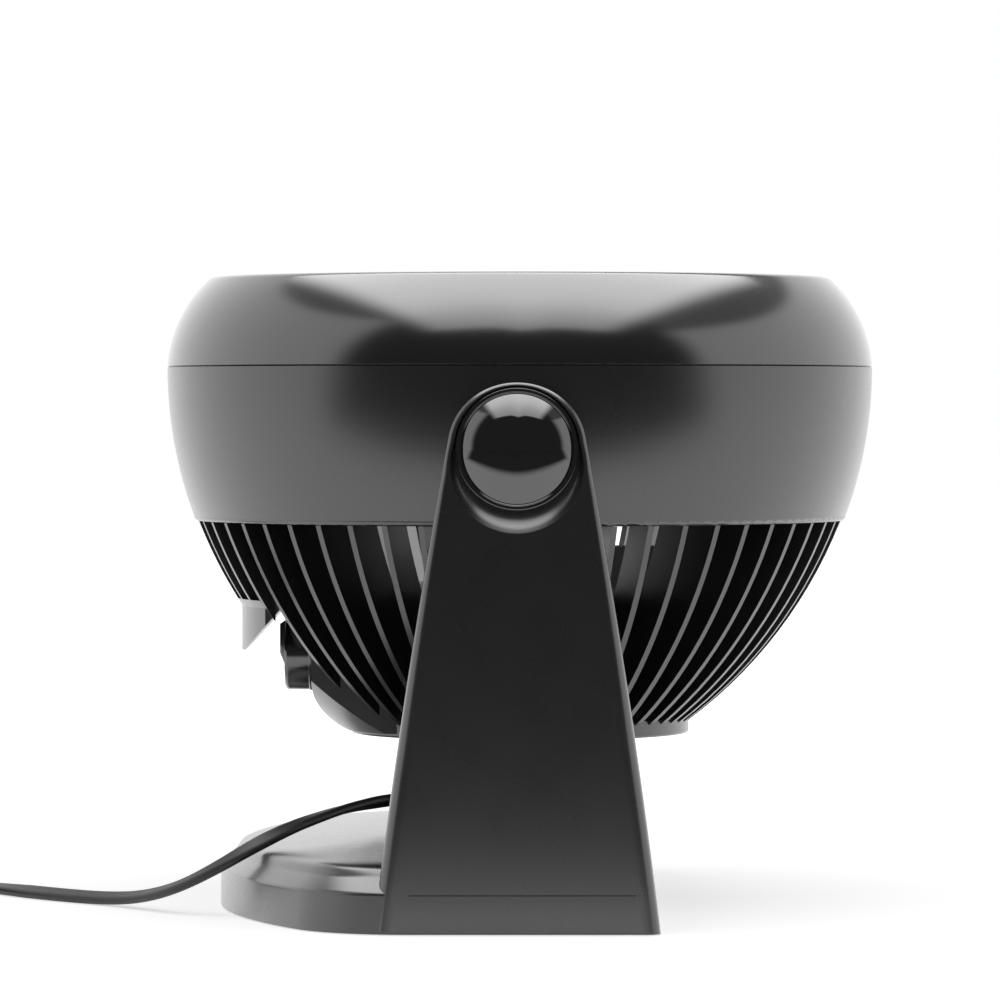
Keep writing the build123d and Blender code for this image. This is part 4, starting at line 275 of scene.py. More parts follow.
coil_turns = np.arange(COIL_TURNS_A_LAYER * COIL_LAYERS * COIL_POINTS_A_TURN + 1) / COIL_POINTS_A_TURN
coil_points = coil_line(coil_turns)
lead_in = coil_points[0] - unit(coil_points[1] - coil_points[0]) * COIL_LEAD_IN
tail_start = coil_points[-1] + unit(coil_points[-1] - coil_points[-2]) * COIL_LEAD_OUT
tail_points = [(tail_start[0] + x, tail_start[1] + y, z) for x, y, z in CORD_TAIL]
cord_points = np.array([*CORD_ROUTE, lead_in, *coil_points, tail_start, *tail_points])
cord_line = nurbs_line("cord_line", cord_points)

# The section: a round core at each end of a flat bar, with a groove along the middle of both flats.
section_angle = np.linspace(0, 2 * pi, CORD_CORNERS, endpoint=False)
lobe = CORD_THICKNESS / 2
flat = (CORD_WIDTH / 2 - lobe) * np.tanh(CORD_SQUARENESS * np.cos(section_angle))
section_across = flat + lobe * np.cos(section_angle)
groove = CORD_GROOVE * np.exp(-(section_across / CORD_GROOVE_HALF) ** 2)
section_up = (lobe - groove) * np.sin(section_angle)
cord_roll = np.radians(np.interp(cord_line[:, 0], ROLL_PLACES, ROLL_ANGLES))
cord = swept("power_cord", cord_line, np.stack([section_across, section_up], axis=1), cord_roll)
paint(cord, cord_vinyl)
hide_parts("cord_slack", "cord_lead", "cord_coil", "cord_tail")
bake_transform(cord)

# ---- Front ring: one glossy black moulding that is screwed onto the drum. It bulges to a soft seam, where a
# fine groove runs round, and its rounded rim turns in over the grille.
MM = 0.001
HINGE = 155.0
SEAM_RADIUS, SEAM_LEVEL, SEAM_GROOVE = 120.1, 26.8, 0.45
SEAM_LAND, SEAM_GAP, SEAM_CHAMFER, GROOVE_SLOPE = 0.9, 0.02, 0.1, 1.2
RING_BULGE, RING_BULGE_RADIUS, RING_BULGE_LEVEL = 44.7, 75.49, 23.9
RING_WALL = 2.5
RIM_LEVEL, RIM_ROUND, RIM_WIDTH, RIM_LIP, GRILLE_LEVEL = 57.4, 4.0, 2.0, 0.4, 54.6
MERGE_DISTANCE = 1e-6


def bulge(levels, inset=0.0):
    """Radius of the ring's face at each level: a circle of the bulge's radius round its centre."""
    reach = np.sqrt((RING_BULGE - inset) ** 2 - (levels - RING_BULGE_LEVEL) ** 2)
    return np.stack([RING_BULGE_RADIUS + reach, levels], axis=1)


def arc(centre, radius, start, end, count):
    """Points on an arc between two angles in degrees."""
    angle = np.radians(np.linspace(start, end, count))
    return np.stack([centre[0] + radius * np.cos(angle), centre[1] + radius * np.sin(angle)], axis=1)


def turned(profile, columns=240):
    """Grid of points of a profile of (radius, height) turned about Z: x = r cos a, y = r sin a."""
    angle = np.linspace(0, 2 * pi, columns, endpoint=False)
    height = np.broadcast_to(profile[:, 1:], (len(profile), columns))
    return np.stack([profile[:, :1] * np.cos(angle), profile[:, :1] * np.sin(angle), height], axis=2)


def solid(name, grids, sharp=35.0):
    """An object from grids of points in millimetres. Each grid closes on itself along its columns, and
    along its rows too, unless its ends lie on a point or are flat; then a face closes each. Doubles are
    merged, all faces are split into triangles and the normals made to point outwards. Edges are sharp
    where the faces turn by more than an angle in degrees."""
    points, faces, first = [], [], 0
    for grid, ends in grids:
        rows, columns = grid.shape[:2]
        faces += (grid_faces(rows, columns, not ends, True) + first).tolist()
        if ends:
            faces += [list(range(first + columns - 1, first - 1, -1)),
                      list(range(first + (rows - 1) * columns, first + rows * columns))]
        points.append(grid.reshape(-1, 3))
        first += rows * columns
    piece = mesh_piece(name, np.concatenate(points) * MM, faces)
    work = bmesh.new()
    work.from_mesh(piece.data)
    bmesh.ops.remove_doubles(work, verts=work.verts, dist=MERGE_DISTANCE)
    bmesh.ops.triangulate(work, faces=work.faces)
    bmesh.ops.recalc_face_normals(work, faces=work.faces)
    work.to_mesh(piece.data)
    work.free()
    piece.data.set_sharp_from_angle(angle=radians(sharp))
    return piece


gloss_black = Finish("gloss_black", (0.006, 0.006, 0.0065), 0.16, IOR=1.5, Specular_IOR_Level=1.0,
                     Coat_Weight=1.0, Coat_Roughness=0.15, Coat_IOR=1.6)
gloss_black.drive("Roughness", 0.155 + 0.05 * gloss_black.noise(40.0, 4.0))
gloss_black.bump(gloss_black.noise(900.0, 2.0), 0.05, 0.00003)

# The profile runs over the groove's chamfer, up the bulge, round the rim and down the inner side.
rim_rise = RIM_LEVEL - RIM_ROUND - RING_BULGE_LEVEL
rim_start = atan2(rim_rise, sqrt((RING_BULGE - RIM_ROUND) ** 2 - rim_rise ** 2))
rim_centre = (RING_BULGE_RADIUS + (RING_BULGE - RIM_ROUND) * cos(rim_start), RIM_LEVEL - RIM_ROUND)
rim_flat = rim_centre[0] - RIM_WIDTH
seam_chamfer = [(SEAM_RADIUS - SEAM_LAND, SEAM_LEVEL + SEAM_GAP),
                (SEAM_RADIUS - SEAM_GROOVE, SEAM_LEVEL + SEAM_CHAMFER)]
bulge_top = RING_BULGE_LEVEL + RING_BULGE * sin(rim_start)
outer = bulge(np.linspace(SEAM_LEVEL + SEAM_GROOVE * GROOVE_SLOPE, bulge_top, 30))
rim = arc(rim_centre, RIM_ROUND, degrees(rim_start), 90.0, 12)[1:]
lip = arc((rim_flat + RIM_LIP, RIM_LEVEL - RIM_LIP), RIM_LIP, 90.0, 180.0, 5)
inner = bulge(np.linspace(GRILLE_LEVEL, SEAM_LEVEL + SEAM_GAP, 16), RING_WALL)
ring_profile = np.concatenate([seam_chamfer, outer, rim, lip, [(rim_flat, GRILLE_LEVEL)], inner])
ring = solid("front_ring_moulding", [(turned(ring_profile + [0.0, HINGE]), False)])
paint(ring, gloss_black)
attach(ring, "head")
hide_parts("front_ring")

# ---- Grille, hinge keys: moulded in the same black as the ring. The grille's curved ribs run out from a
# plain domed centre; the keys are the flanged stubs that turn in the arms.
for name in ("front_grille", "trunnions"):
    paint(nodes[name], gloss_black)

# ---- Drum: a satin moulding with a fine spark-eroded grain; its rounded lower lip holds the cage. The duct
# round the blades and the arms' covers are moulded in the same resin.
satin_black = Finish("satin_black", (0.009, 0.009, 0.0095), 0.25, IOR=1.5, Specular_IOR_Level=0.9,
                     Coat_Weight=1.0, Coat_Roughness=0.24)
satin_black.drive("Roughness", 0.24 + 0.08 * satin_black.noise(60.0, 4.0))
satin_black.bump(satin_black.noise(1500.0, 2.0), 0.05, 0.00004)
for name in ("drum", "air_duct"):
    paint(nodes[name], satin_black)

# ---- Cage: one matt black moulding of 54 upright vanes between the drum and the motor's cup, with the
# visor over the knob and the switch's box. The flat disc of its rear cover is the same resin.
cage_black = Finish("cage_black", (0.010, 0.010, 0.0105), 0.3, IOR=1.5, Specular_IOR_Level=0.9,
                    Coat_Weight=1.0, Coat_Roughness=0.26)
cage_black.drive("Roughness", 0.25 + 0.12 * cage_black.noise(90.0, 3.0))
cage_black.bump(cage_black.noise(2200.0, 2.0), 0.14, 0.00006)
for name in ("rear_cage", "rear_cover"):
    paint(nodes[name], cage_black)

# ---- Stand: one hollow satin moulding. Two leaning arms with soft edges grow out of a low base, whose toe
# is a wide arc; a dished seat round each hinge holds a cap and runs out below it in a scoop. Here it is
# three closed shells, two arms and the base, whose walls lie flush where the arms stand over the base.
STAND_HALF, ARM_INNER, TABLE_GAP = 138.5, 124.3, 0.3
WALL_HEIGHT, BEVEL_HEIGHT = 13.6, 18.0
ARM_SIDE = ((0.0, 46.0), (92.0, 33.3), (159.03, 21.93))
ARM_WALL, ARM_LEAN, ARM_LEAN_POWER = 2.6, 4.5, 1.35
ARM_SOLE, ARM_PROUD, ARM_HOLLOW_FOOT, ARM_HOLLOW_TOP = 1.2, 0.012, 34.0, 159.0
ARM_TOP_RADIUS, ARM_TOP_TANGENT = 22.3, 10.4
ARM_TOP_SQUASH, ARM_TOP_LOWEST, ARM_TOP_POWER = 0.955, 4.0, 1.5
ARM_EDGE_ROUND, ARM_SOLE_ROUND, ARM_SOLE_MARGIN = 4.8, 0.05, 0.7
ARM_ROUND_LEVELS = [WALL_HEIGHT, 60.0, 150.0, 178.0]
ARM_ROUNDS = [ARM_EDGE_ROUND, ARM_EDGE_ROUND, 2.4, 1.5]
ARM_ROUND_SHARE = 0.93
ARM_BACK_EDGE = ((0.0, 0.5), (0.15, 0.15), (0.5, 0.0))
SOLE_TOLERANCE = 0.01
HOLLOW_SHARES = (0.0, 0.4, 0.75, 0.95)
SEAT_RADIUS, SEAT_FLOOR, SEAT_BACK, SEAT_HOLE, SEAT_BOSS = 20.2, 131.6, 129.0, 15.6, 30.0
SEAT_INSET, BRINK_INSET, BRINK_EDGE = 0.3, 0.35, 0.15
SCOOP_RADIUS, SCOOP_DROP, SCOOP_POWER = 21.4, 5.4, 2.2
TOE_X, TOE_ARC, TOE_CORNER, BASE_WALL = -101.7, 240.0, 42.0, 2.8
CORNER_SHRINK, CORNER_SHRINK_MORE, CORNER_MORE_FROM, CORNER_LEAST = 0.62, 0.12, 14.0, 6.0
STAND_SHARP = 28.0
# Plans of the base, from the sole up: toe inset, side inset and height. The crown domes gently.
WALL_STEPS = (
    (ARM_PROUD, ARM_PROUD, TABLE_GAP), (ARM_PROUD, ARM_PROUD, 6.0), (ARM_PROUD, ARM_PROUD, WALL_HEIGHT - 1.2),
    (ARM_PROUD, ARM_PROUD, WALL_HEIGHT - 0.7), (0.15, 0.15, WALL_HEIGHT - 0.2), (0.6, 0.6, WALL_HEIGHT + 0.3),
    (4.7, 4.7, BEVEL_HEIGHT - 0.25))
CROWN_STEPS = (
    (5.0, 5.0, 18.0), (5.5, 5.5, 18.8), (6.2, 6.2, 19.9), (7.0, 7.2, 20.8), (8.2, 8.6, 21.4),
    (10.0, 11.4, 21.9), (14.0, 17.0, 22.4), (20.0, 26.0, 22.9), (30.0, 42.0, 23.7), (40.0, 62.0, 24.6),
    (46.0, 80.0, 25.3), (52.0, 96.0, 25.8))


def arm_half(height):
    """Half width of an arm at a height: the parabola through the three places of ARM_SIDE."""
    (a, p), (b, q), (c, r) = ARM_SIDE
    foot = p * (height - b) * (height - c) / ((a - b) * (a - c))
    waist = q * (height - a) * (height - c) / ((b - a) * (b - c))
    return foot + waist + r * (height - a) * (height - b) / ((c - a) * (c - b))


def arm_face(height):
    """Distance of an arm's outer face from the middle: upright at the wall, leaning in more and more."""
    rise = (height - WALL_HEIGHT) / (HINGE - WALL_HEIGHT)
    return STAND_HALF - ARM_LEAN * np.clip(rise, 0, 2) ** ARM_LEAN_POWER


def arm_outline():
    """Front view of an arm, anticlockwise from the sole's middle, with one mask of the places between
    the ends of its sole and one of the sole's two ends. The top arc is squashed more towards its top."""
    side_height = np.linspace(ARM_SOLE, ARM_SIDE[2][0], 60)
    side = np.stack([arm_half(side_height), side_height], axis=1)
    top = arc((0.0, HINGE), ARM_TOP_RADIUS, ARM_TOP_TANGENT, 180.0 - ARM_TOP_TANGENT, 64)[1:-1]
    rise = (top[:, 1] - HINGE - ARM_TOP_LOWEST) / (ARM_TOP_RADIUS - ARM_TOP_LOWEST)
    top[:, 1] -= (1 - ARM_TOP_SQUASH) * ARM_TOP_RADIUS * np.clip(rise, 0, 1) ** ARM_TOP_POWER
    sole_end = side[0, 0] - ARM_EDGE_ROUND - ARM_SOLE_MARGIN
    sole = np.stack([np.linspace(0.0, sole_end, 14), np.full(14, ARM_SOLE)], axis=1)
    mirror = np.array([-1.0, 1.0])
    outline = np.concatenate([sole, side, top, side[::-1] * mirror, sole[:0:-1] * mirror])
    low = outline[:, 1] < ARM_SOLE + SOLE_TOLERANCE
    corner = low & (abs(outline[:, 0]) > side[0, 0] - SOLE_TOLERANCE)
    return outline, low & ~corner, corner


def arm_grid(side):
    """One arm as a closed shell. Each column runs from the seat's hole over seat, scoop, face and edge to
    the inner side, and back through the hollow: y follows the face, less a quarter circle at the edge."""
    outline, sole, corner = arm_outline()
    tangent = np.roll(outline, -1, axis=0) - np.roll(outline, 1, axis=0)
    inward = unit(np.stack([-tangent[:, 1], tangent[:, 0]], axis=1))
    inward[corner] = np.stack([-np.sign(outline[corner, 0]), np.zeros(corner.sum())], axis=1)
    centre = np.array([0.0, HINGE])
    spoke = outline - centre
    reach = np.linalg.norm(spoke, axis=1)
    ray = spoke / reach[:, None]
    # The brink is the larger of the seat's circle and of the scoop's, whose centre lies lower.
    drop = -SCOOP_DROP * ray[:, 1]
    scoop = drop + np.sqrt(drop ** 2 - SCOOP_DROP ** 2 + SCOOP_RADIUS ** 2)
    brink = np.maximum(SEAT_RADIUS, scoop)
    widest = np.interp(outline[:, 1], ARM_ROUND_LEVELS, ARM_ROUNDS)
    rounding = np.where(sole, ARM_SOLE_ROUND, np.minimum(widest, ARM_ROUND_SHARE * (reach - brink)))
    rows = []

    def add(places, depth):
        """A row of the shell: places in the side view, and their distance from the middle."""
        rows.append(np.stack([places[:, 0], np.broadcast_to(depth, len(places)), places[:, 1]], axis=1))

    def back(places):
        """Distance of the hollow's outer wall: flat behind the seat, elsewhere one wall inside the face."""
        boss = np.hypot(places[:, 0], places[:, 1] - HINGE) < SEAT_BOSS
        return np.where(boss, SEAT_BACK, arm_face(places[:, 1]) - ARM_WALL)

    hole = centre + ray * SEAT_HOLE
    add(hole, SEAT_FLOOR)
    scoop_height = arm_face((centre + ray * brink[:, None])[:, 1]) - BRINK_EDGE - SEAT_FLOOR
    floor_radius = np.minimum(SEAT_RADIUS - SEAT_INSET, brink - BRINK_INSET)
    for share in np.linspace(0, 1, 9):
        radius = floor_radius + (brink - floor_radius) * share
        add(centre + ray * radius[:, None], SEAT_FLOOR + scoop_height * share ** SCOOP_POWER)
    brink_edge = centre + ray * (brink + BRINK_EDGE)[:, None]
    inside = outline + inward * rounding[:, None]
    for share in np.linspace(0, 1, 14)[:-1]:
        place = brink_edge * (1 - share) + inside * share
        add(place, arm_face(place[:, 1]))
    for angle in np.linspace(0, pi / 2, 10):
        place = outline + inward * (rounding * (1 - sin(angle)))[:, None]
        add(place, arm_face(place[:, 1]) - rounding * (1 - cos(angle)))
    for inset, depth in ARM_BACK_EDGE:
        add(outline + inward * inset, ARM_INNER + depth)
    hollow = outline + inward * ARM_WALL
    hollow[:, 1] = np.maximum(hollow[:, 1], ARM_HOLLOW_FOOT)
    half = arm_half(hollow[:, 1].clip(0, ARM_HOLLOW_TOP)) - ARM_WALL
    hollow[:, 0] = np.clip(hollow[:, 0], -half, half)
    add(hollow, ARM_INNER)
    for share in HOLLOW_SHARES:
        place = hollow * (1 - share) + hole * share
        add(place, back(place))
    add(hole, SEAT_BACK)
    return np.stack(rows) * [1.0, side, 1.0]


def base_ring(toe_inset, side_inset, height):
    """Plan of the base at a height: toe arc, toe corners, straight sides, and a front that follows the
    arms. The circle of a toe corner touches the toe's arc from within, so the distance between their
    centres is the arc's radius less the corner's."""
    half, toe = STAND_HALF - side_inset, TOE_ARC - toe_inset
    shrink = CORNER_SHRINK * min(toe_inset, side_inset)
    more = CORNER_SHRINK_MORE * max(side_inset - CORNER_MORE_FROM, 0)
    corner = max(TOE_CORNER - shrink - more, CORNER_LEAST)
    middle = TOE_X + TOE_ARC
    corner_x = middle - sqrt((toe - corner) ** 2 - (half - corner) ** 2)
    lead = degrees(atan2(half - corner, middle - corner_x))
    front, soft = arm_half(height) - toe_inset, ARM_EDGE_ROUND
    left = np.concatenate([
        arc((middle, 0.0), toe, 180.0, 180.0 - lead, 24),
        arc((corner_x, half - corner), corner, 180.0 - lead, 90.0, 20)[1:],
        np.stack([np.linspace(corner_x, front - soft, 26)[1:-1], np.full(24, half)], axis=1),
        arc((front - soft, half - soft), soft, 90.0, 0.0, 9),
        np.stack([np.full(16, front), np.linspace(half - soft, 0.0, 17)[1:]], axis=1)])
    whole = np.concatenate([left, left[-2:0:-1] * [1.0, -1.0]])
    return np.append(whole, np.full((len(whole), 1), height), axis=1)


def capped(outside, inside):
    """Plans of the outside and of the hollow as one grid. It starts in the crown's middle, runs down the
    outside and up the hollow, and ends in the middle of the crown's underside."""
    outside, inside = np.stack(outside)[::-1], np.stack(inside)[::-1]
    first, last = [plan.mean(axis=1, keepdims=True).repeat(plan.shape[1], axis=1)
                   for plan in (outside[:1], inside[-1:])]
    return np.concatenate([first, outside, inside, last])


base_outside = [base_ring(*step) for step in WALL_STEPS + CROWN_STEPS]
base_hollow = [base_ring(toe + BASE_WALL, side + BASE_WALL, height - BASE_WALL)
               for toe, side, height in CROWN_STEPS[::-1] + ((0.0, 0.0, WALL_HEIGHT),)]
base_hollow.append(base_ring(BASE_WALL, BASE_WALL, TABLE_GAP))
stand_shells = [(capped(base_outside, base_hollow), True), (arm_grid(-1.0), False), (arm_grid(1.0), False)]
stand = solid("stand_moulding", stand_shells, STAND_SHARP)
paint(stand, satin_black)
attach(stand, "stand")
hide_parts("stand_frame")
for name in ("arm_cover_near", "arm_cover_far", "base_cover"):
    paint(nodes[name], satin_black)

# ---- Hinge caps: polished black domes that snap into the seats and hide the hinge screws. A low rim and a
# narrow ditch run round each dome.
CAP_RADIUS, CAP_RIM, CAP_RIM_RADIUS, CAP_DOME, CAP_SKIRT = 17.9, 1.4, 19.7, 5.2, 2.4
CAP_PLAY, CAP_RIM_ROUND, CAP_DOME_POWER = 0.15, 0.5, 2.5
CAP_DITCH, CAP_DITCH_ROUND, CAP_DITCH_WIDTH = 0.5, 0.4, 0.6
polished_black = Finish("polished_black", (0.006, 0.006, 0.0065), 0.04, IOR=1.5, Specular_IOR_Level=1.0,
                        Coat_Weight=1.0, Coat_Roughness=0.03, Coat_IOR=1.6)
polished_black.drive("Roughness", 0.03 + 0.03 * polished_black.noise(70.0, 4.0))
# The profile runs up the skirt in the seat's hole, over the rim and its ditch, and over the dome.
cap_neck = SEAT_HOLE - CAP_PLAY
cap_skirt = [(0.0, -CAP_SKIRT), (cap_neck, -CAP_SKIRT), (cap_neck, 0.0), (CAP_RIM_RADIUS, 0.0)]
cap_rim = arc((CAP_RIM_RADIUS - CAP_RIM_ROUND, CAP_RIM - CAP_RIM_ROUND), CAP_RIM_ROUND, 0.0, 90.0, 5)
cap_ditch = arc((CAP_RADIUS + CAP_DITCH_WIDTH, CAP_RIM - CAP_DITCH_ROUND), CAP_DITCH_ROUND, 90.0, 180.0, 4)
dome_radius = np.linspace(CAP_RADIUS, 0.0, 26)
dome_height = (CAP_DOME + CAP_DITCH) * (1 - (dome_radius / CAP_RADIUS) ** CAP_DOME_POWER)
dome = np.stack([dome_radius, CAP_RIM - CAP_DITCH + dome_height], axis=1)
cap_profile = np.concatenate([cap_skirt, cap_rim, cap_ditch, dome])
for side, name in ((-1.0, "pivot_cap_near"), (1.0, "pivot_cap_far")):
    grid = turned(cap_profile, 160)
    grid = np.stack([grid[..., 0], side * (SEAT_FLOOR + grid[..., 2]), HINGE + grid[..., 1]], axis=2)
    cap = solid(name + "_dome", [(grid, True)])
    paint(cap, polished_black)
    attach(cap, "stand")
    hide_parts(name)

# ---- Speed knob: a smooth round cap of glossy black plastic with a raised pointer bar; it is pushed onto the
# flat of the switch's spindle and turns in front of the cage's wall.
KNOB_PLACE, KNOB_LEVEL, KNOB_RADIUS = -70.02, 84.5, 13.0
KNOB_BORE, KNOB_BORE_DEPTH, KNOB_FOOT_ROUND, KNOB_FOOT_TOP = 8.0, 3.7, 0.4, 1.4
KNOB_GRIP, KNOB_GRIP_FOOT, KNOB_FACE, KNOB_FACE_ROUND, KNOB_FACE_RADIUS = 12.7, (1.7, 2.0), 9.9, 1.5, 11.6
POINTER_HEIGHT, POINTER_HALF, POINTER_TIP, POINTER_TIP_RUN, POINTER_TAIL_RUN = 2.0, 2.1, 11.2, 1.4, 5.0
KNOB_FACE_DEPTH = 0.2
# The profile runs up the hollow back, round the foot, up the grip and over the flat face.
knob_bore = [(0.0, KNOB_BORE_DEPTH), (KNOB_BORE, KNOB_BORE_DEPTH), (KNOB_BORE, 0.0)]
knob_foot = arc((KNOB_RADIUS - KNOB_FOOT_ROUND, KNOB_FOOT_ROUND), KNOB_FOOT_ROUND, -90.0, 0.0, 4)
knob_grip = [(KNOB_RADIUS, KNOB_FOOT_TOP), *[(KNOB_GRIP, height) for height in KNOB_GRIP_FOOT]]
knob_edge = arc((KNOB_GRIP - KNOB_FACE_ROUND, KNOB_FACE - KNOB_FACE_ROUND), KNOB_FACE_ROUND, 5.0, 80.0, 8)
knob_face = np.stack([np.linspace(KNOB_FACE_RADIUS, 0.0, 40), np.full(40, KNOB_FACE)], axis=1)
knob_grid = turned(np.concatenate([knob_bore, knob_foot, knob_grip, knob_edge, knob_face]))
along_bar, across, rise = knob_grid[..., 0], knob_grid[..., 1], knob_grid[..., 2]
# The pointer's height over the face: a rounded bar, which fades in from behind the middle and ends before
# the edge.
bar = np.exp(-(across / POINTER_HALF) ** 6) * np.clip((POINTER_TIP - along_bar) / POINTER_TIP_RUN, 0, 1)
bar *= np.clip((along_bar + POINTER_TAIL_RUN) / POINTER_TAIL_RUN, 0, 1)
rise += POINTER_HEIGHT * bar * (rise > KNOB_FACE - KNOB_FACE_DEPTH)
knob_points = np.stack([KNOB_PLACE - rise, across, KNOB_LEVEL + along_bar], axis=2)
knob = solid("speed_knob_grip", [(knob_points, True)])
paint(knob, gloss_black)
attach(knob, "knob")
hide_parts("speed_knob")

# ---- Impeller: three broad blades and their hub in one dark grey moulding, whose gloss varies softly and
# is drawn out along the axis.
impeller_grey = Finish("impeller_grey", (0.022, 0.023, 0.025), 0.3, IOR=1.5, Specular_IOR_Level=0.6)
impeller_grey.drive("Roughness", 0.28 + 0.12 * impeller_grey.noise(120.0, 3.0, (1.0, 1.0, 0.2)))
impeller_grey.bump(impeller_grey.noise(1500.0, 2.0), 0.10, 0.00005)
paint(nodes["impeller"], impeller_grey)

# ---- Rubber: four feet that are set into the underside of the base, and the tapered sleeve that guards the
# cord where it leaves the rear cover; both are dull and slightly rough.
foot_rubber = Finish("foot_rubber", (0.018, 0.018, 0.018), 0.7, IOR=1.5)
foot_rubber.drive("Roughness", 0.62 + 0.2 * foot_rubber.noise(300.0, 3.0))
foot_rubber.bump(foot_rubber.noise(1400.0, 3.0), 0.25, 0.0001)
for name in ("rubber_feet", "strain_relief"):
    paint(nodes[name], foot_rubber)

# ---- Plug: moulded in the cord's own vinyl round two folded brass blades, whose gloss has the lengthwise
# streaks of rolled sheet.
paint(nodes["plug_body"], cord_vinyl)
prong_brass = Finish("prong_brass", (0.55, 0.42, 0.20), 0.3, Metallic=1.0)
prong_brass.drive("Roughness", 0.22 + 0.2 * prong_brass.noise(500.0, 3.0, (0.15, 1.0, 1.0)))
paint(nodes["plug_prongs"], prong_brass)

# ---- Steel: zinc-plated screws, washers and the switch's nut, whose plating is mottled; the motor's shaft
# and the switch's spindle are ground bright.
zinc_steel = Finish("zinc_steel", (0.46, 0.47, 0.48), 0.35, Metallic=1.0)
zinc_tones = zinc_steel.mixed(zinc_steel.noise(700.0, 3.0), (0.38, 0.39, 0.41), (0.55, 0.55, 0.53))
zinc_steel.drive("Base Color", zinc_tones)
zinc_steel.drive("Roughness", 0.28 + 0.22 * zinc_steel.noise(900.0, 3.0))
for name in ("arm_screws", "base_screws", "duct_screws", "ring_screws", "rear_cover_screws", "pivot_washers",
             "pivot_screws", "motor_screws", "switch_nut"):
    paint(nodes[name], zinc_steel)
ground_steel = Finish("ground_steel", (0.55, 0.55, 0.56), 0.22, Metallic=1.0)
ground_steel.drive("Roughness", 0.16 + 0.16 * ground_steel.noise(2500.0, 2.0, (0.2, 0.2, 1.0)))
for name in ("motor_shaft", "switch_spindle"):
    paint(nodes[name], ground_steel)

# ---- Motor: die-cast brackets with a grainy skin, bronze sleeve bearings, stacked sheets in stator and
# rotor, and coils of enamelled copper wire.
bracket_alloy = Finish("bracket_alloy", (0.36, 0.37, 0.38), 0.45, Metallic=1.0)
bracket_alloy.drive("Roughness", 0.4 + 0.2 * bracket_alloy.noise(400.0, 4.0))
bracket_alloy.bump(bracket_alloy.noise(1200.0, 3.0), 0.3, 0.0001)
for name in ("motor_front_bracket", "motor_rear_bracket"):
    paint(nodes[name], bracket_alloy)
bearing_bronze = Finish("bearing_bronze", (0.42, 0.26, 0.12), 0.4, Metallic=1.0)
bearing_bronze.drive("Roughness", 0.35 + 0.2 * bearing_bronze.noise(1500.0, 3.0))
paint(nodes["motor_bearings"], bearing_bronze)


def layers(finish, pitch):
    """0 to 1 across each layer of a stack: a sine of the height, with the stack's pitch in metres."""
    height = finish.add("SeparateXYZ", {}, {0: finish}, "Z")
    return 0.5 + 0.5 * height.math("SINE", height * (2 * pi / pitch))


SHEET_PITCH, WIRE_PITCH = 0.0005, 0.0006
lamination = Finish("lamination", (0.22, 0.22, 0.24), 0.45, Metallic=1.0)
sheet_tones = lamination.mixed(layers(lamination, SHEET_PITCH), (0.10, 0.10, 0.11), (0.30, 0.30, 0.32))
lamination.drive("Base Color", sheet_tones)
lamination.drive("Roughness", 0.38 + 0.15 * lamination.noise(300.0, 3.0))
for name in ("motor_stator", "rotor"):
    paint(nodes[name], lamination)
copper_wire = Finish("copper_wire", (0.50, 0.20, 0.08), 0.3, Metallic=1.0)
copper_layers = layers(copper_wire, WIRE_PITCH)
copper_wire.drive("Base Color", copper_wire.mixed(copper_layers, (0.28, 0.10, 0.04), (0.58, 0.25, 0.10)))
copper_wire.bump(copper_layers, 0.6, 0.0002)
paint(nodes["motor_windings"], copper_wire)

# ---- Electric parts: the capacitor in its grey case, the rotary switch in brown phenolic and white leads;
# the friction washers of the hinges are pressed fibre.
capacitor_case = Finish("capacitor_case", (0.16, 0.16, 0.165), 0.4, IOR=1.5)
capacitor_case.drive("Roughness", 0.34 + 0.14 * capacitor_case.noise(200.0, 3.0))
paint(nodes["capacitor"], capacitor_case)
switch_case = Finish("switch_case", (0.05, 0.03, 0.02), 0.45, IOR=1.5)
case_tones = switch_case.mixed(switch_case.noise(600.0, 3.0), (0.04, 0.025, 0.018), (0.07, 0.042, 0.028))
switch_case.drive("Base Color", case_tones)
paint(nodes["rotary_switch"], switch_case)
wire_white = Finish("wire_white", (0.62, 0.61, 0.58), 0.45, IOR=1.5)
wire_white.drive("Roughness", 0.4 + 0.15 * wire_white.noise(500.0, 2.0))
paint(nodes["inner_wires"], wire_white)
fibre = Finish("fibre", (0.30, 0.16, 0.08), 0.8, IOR=1.45)
fibre.drive("Base Color", fibre.mixed(fibre.noise(1500.0, 4.0), (0.22, 0.11, 0.05), (0.38, 0.22, 0.12)))
paint(nodes["friction_washers"], fibre)

# ---- Floor and studio: a white table that runs into a white room. A large soft lamp overhead shows only in
# what mirrors it, and its edges fade; a smaller one only fills. The room and the table are dark on the
# camera's side, so black plastic stays black there.
FLOOR_SPAN = 6.0
FLOOR_DARK, FLOOR_LIGHT = (0.10, 0.10, 0.10), (0.9, 0.9, 0.9)
TABLE_EDGE, ROOM_EDGE = (-0.52, -0.34), (-0.56, -0.41)
FLOOR_NEAR, FLOOR_SHADE, FLOOR_MIRRORED = (0.30, 1.0), 0.46, 0.5
CEILING_EDGE, CEILING_DIMMED = (0.64, 0.70), 0.78
CEILING_TILT, CEILING_TILT_SPAN = 0.12, (-0.2, 0.2)
ROOM_DARKEST, ROOM_OTHER = 0.06, 0.55
floor_corners = [(FLOOR_SPAN * x, FLOOR_SPAN * y, 0.0) for x, y in ((-1, -1), (1, -1), (1, 1), (-1, 1))]
floor = mesh_piece("floor", floor_corners, [(0, 1, 2, 3)])
floor_white = Finish("floor_white", FLOOR_LIGHT, 0.7, Specular_IOR_Level=0.0)


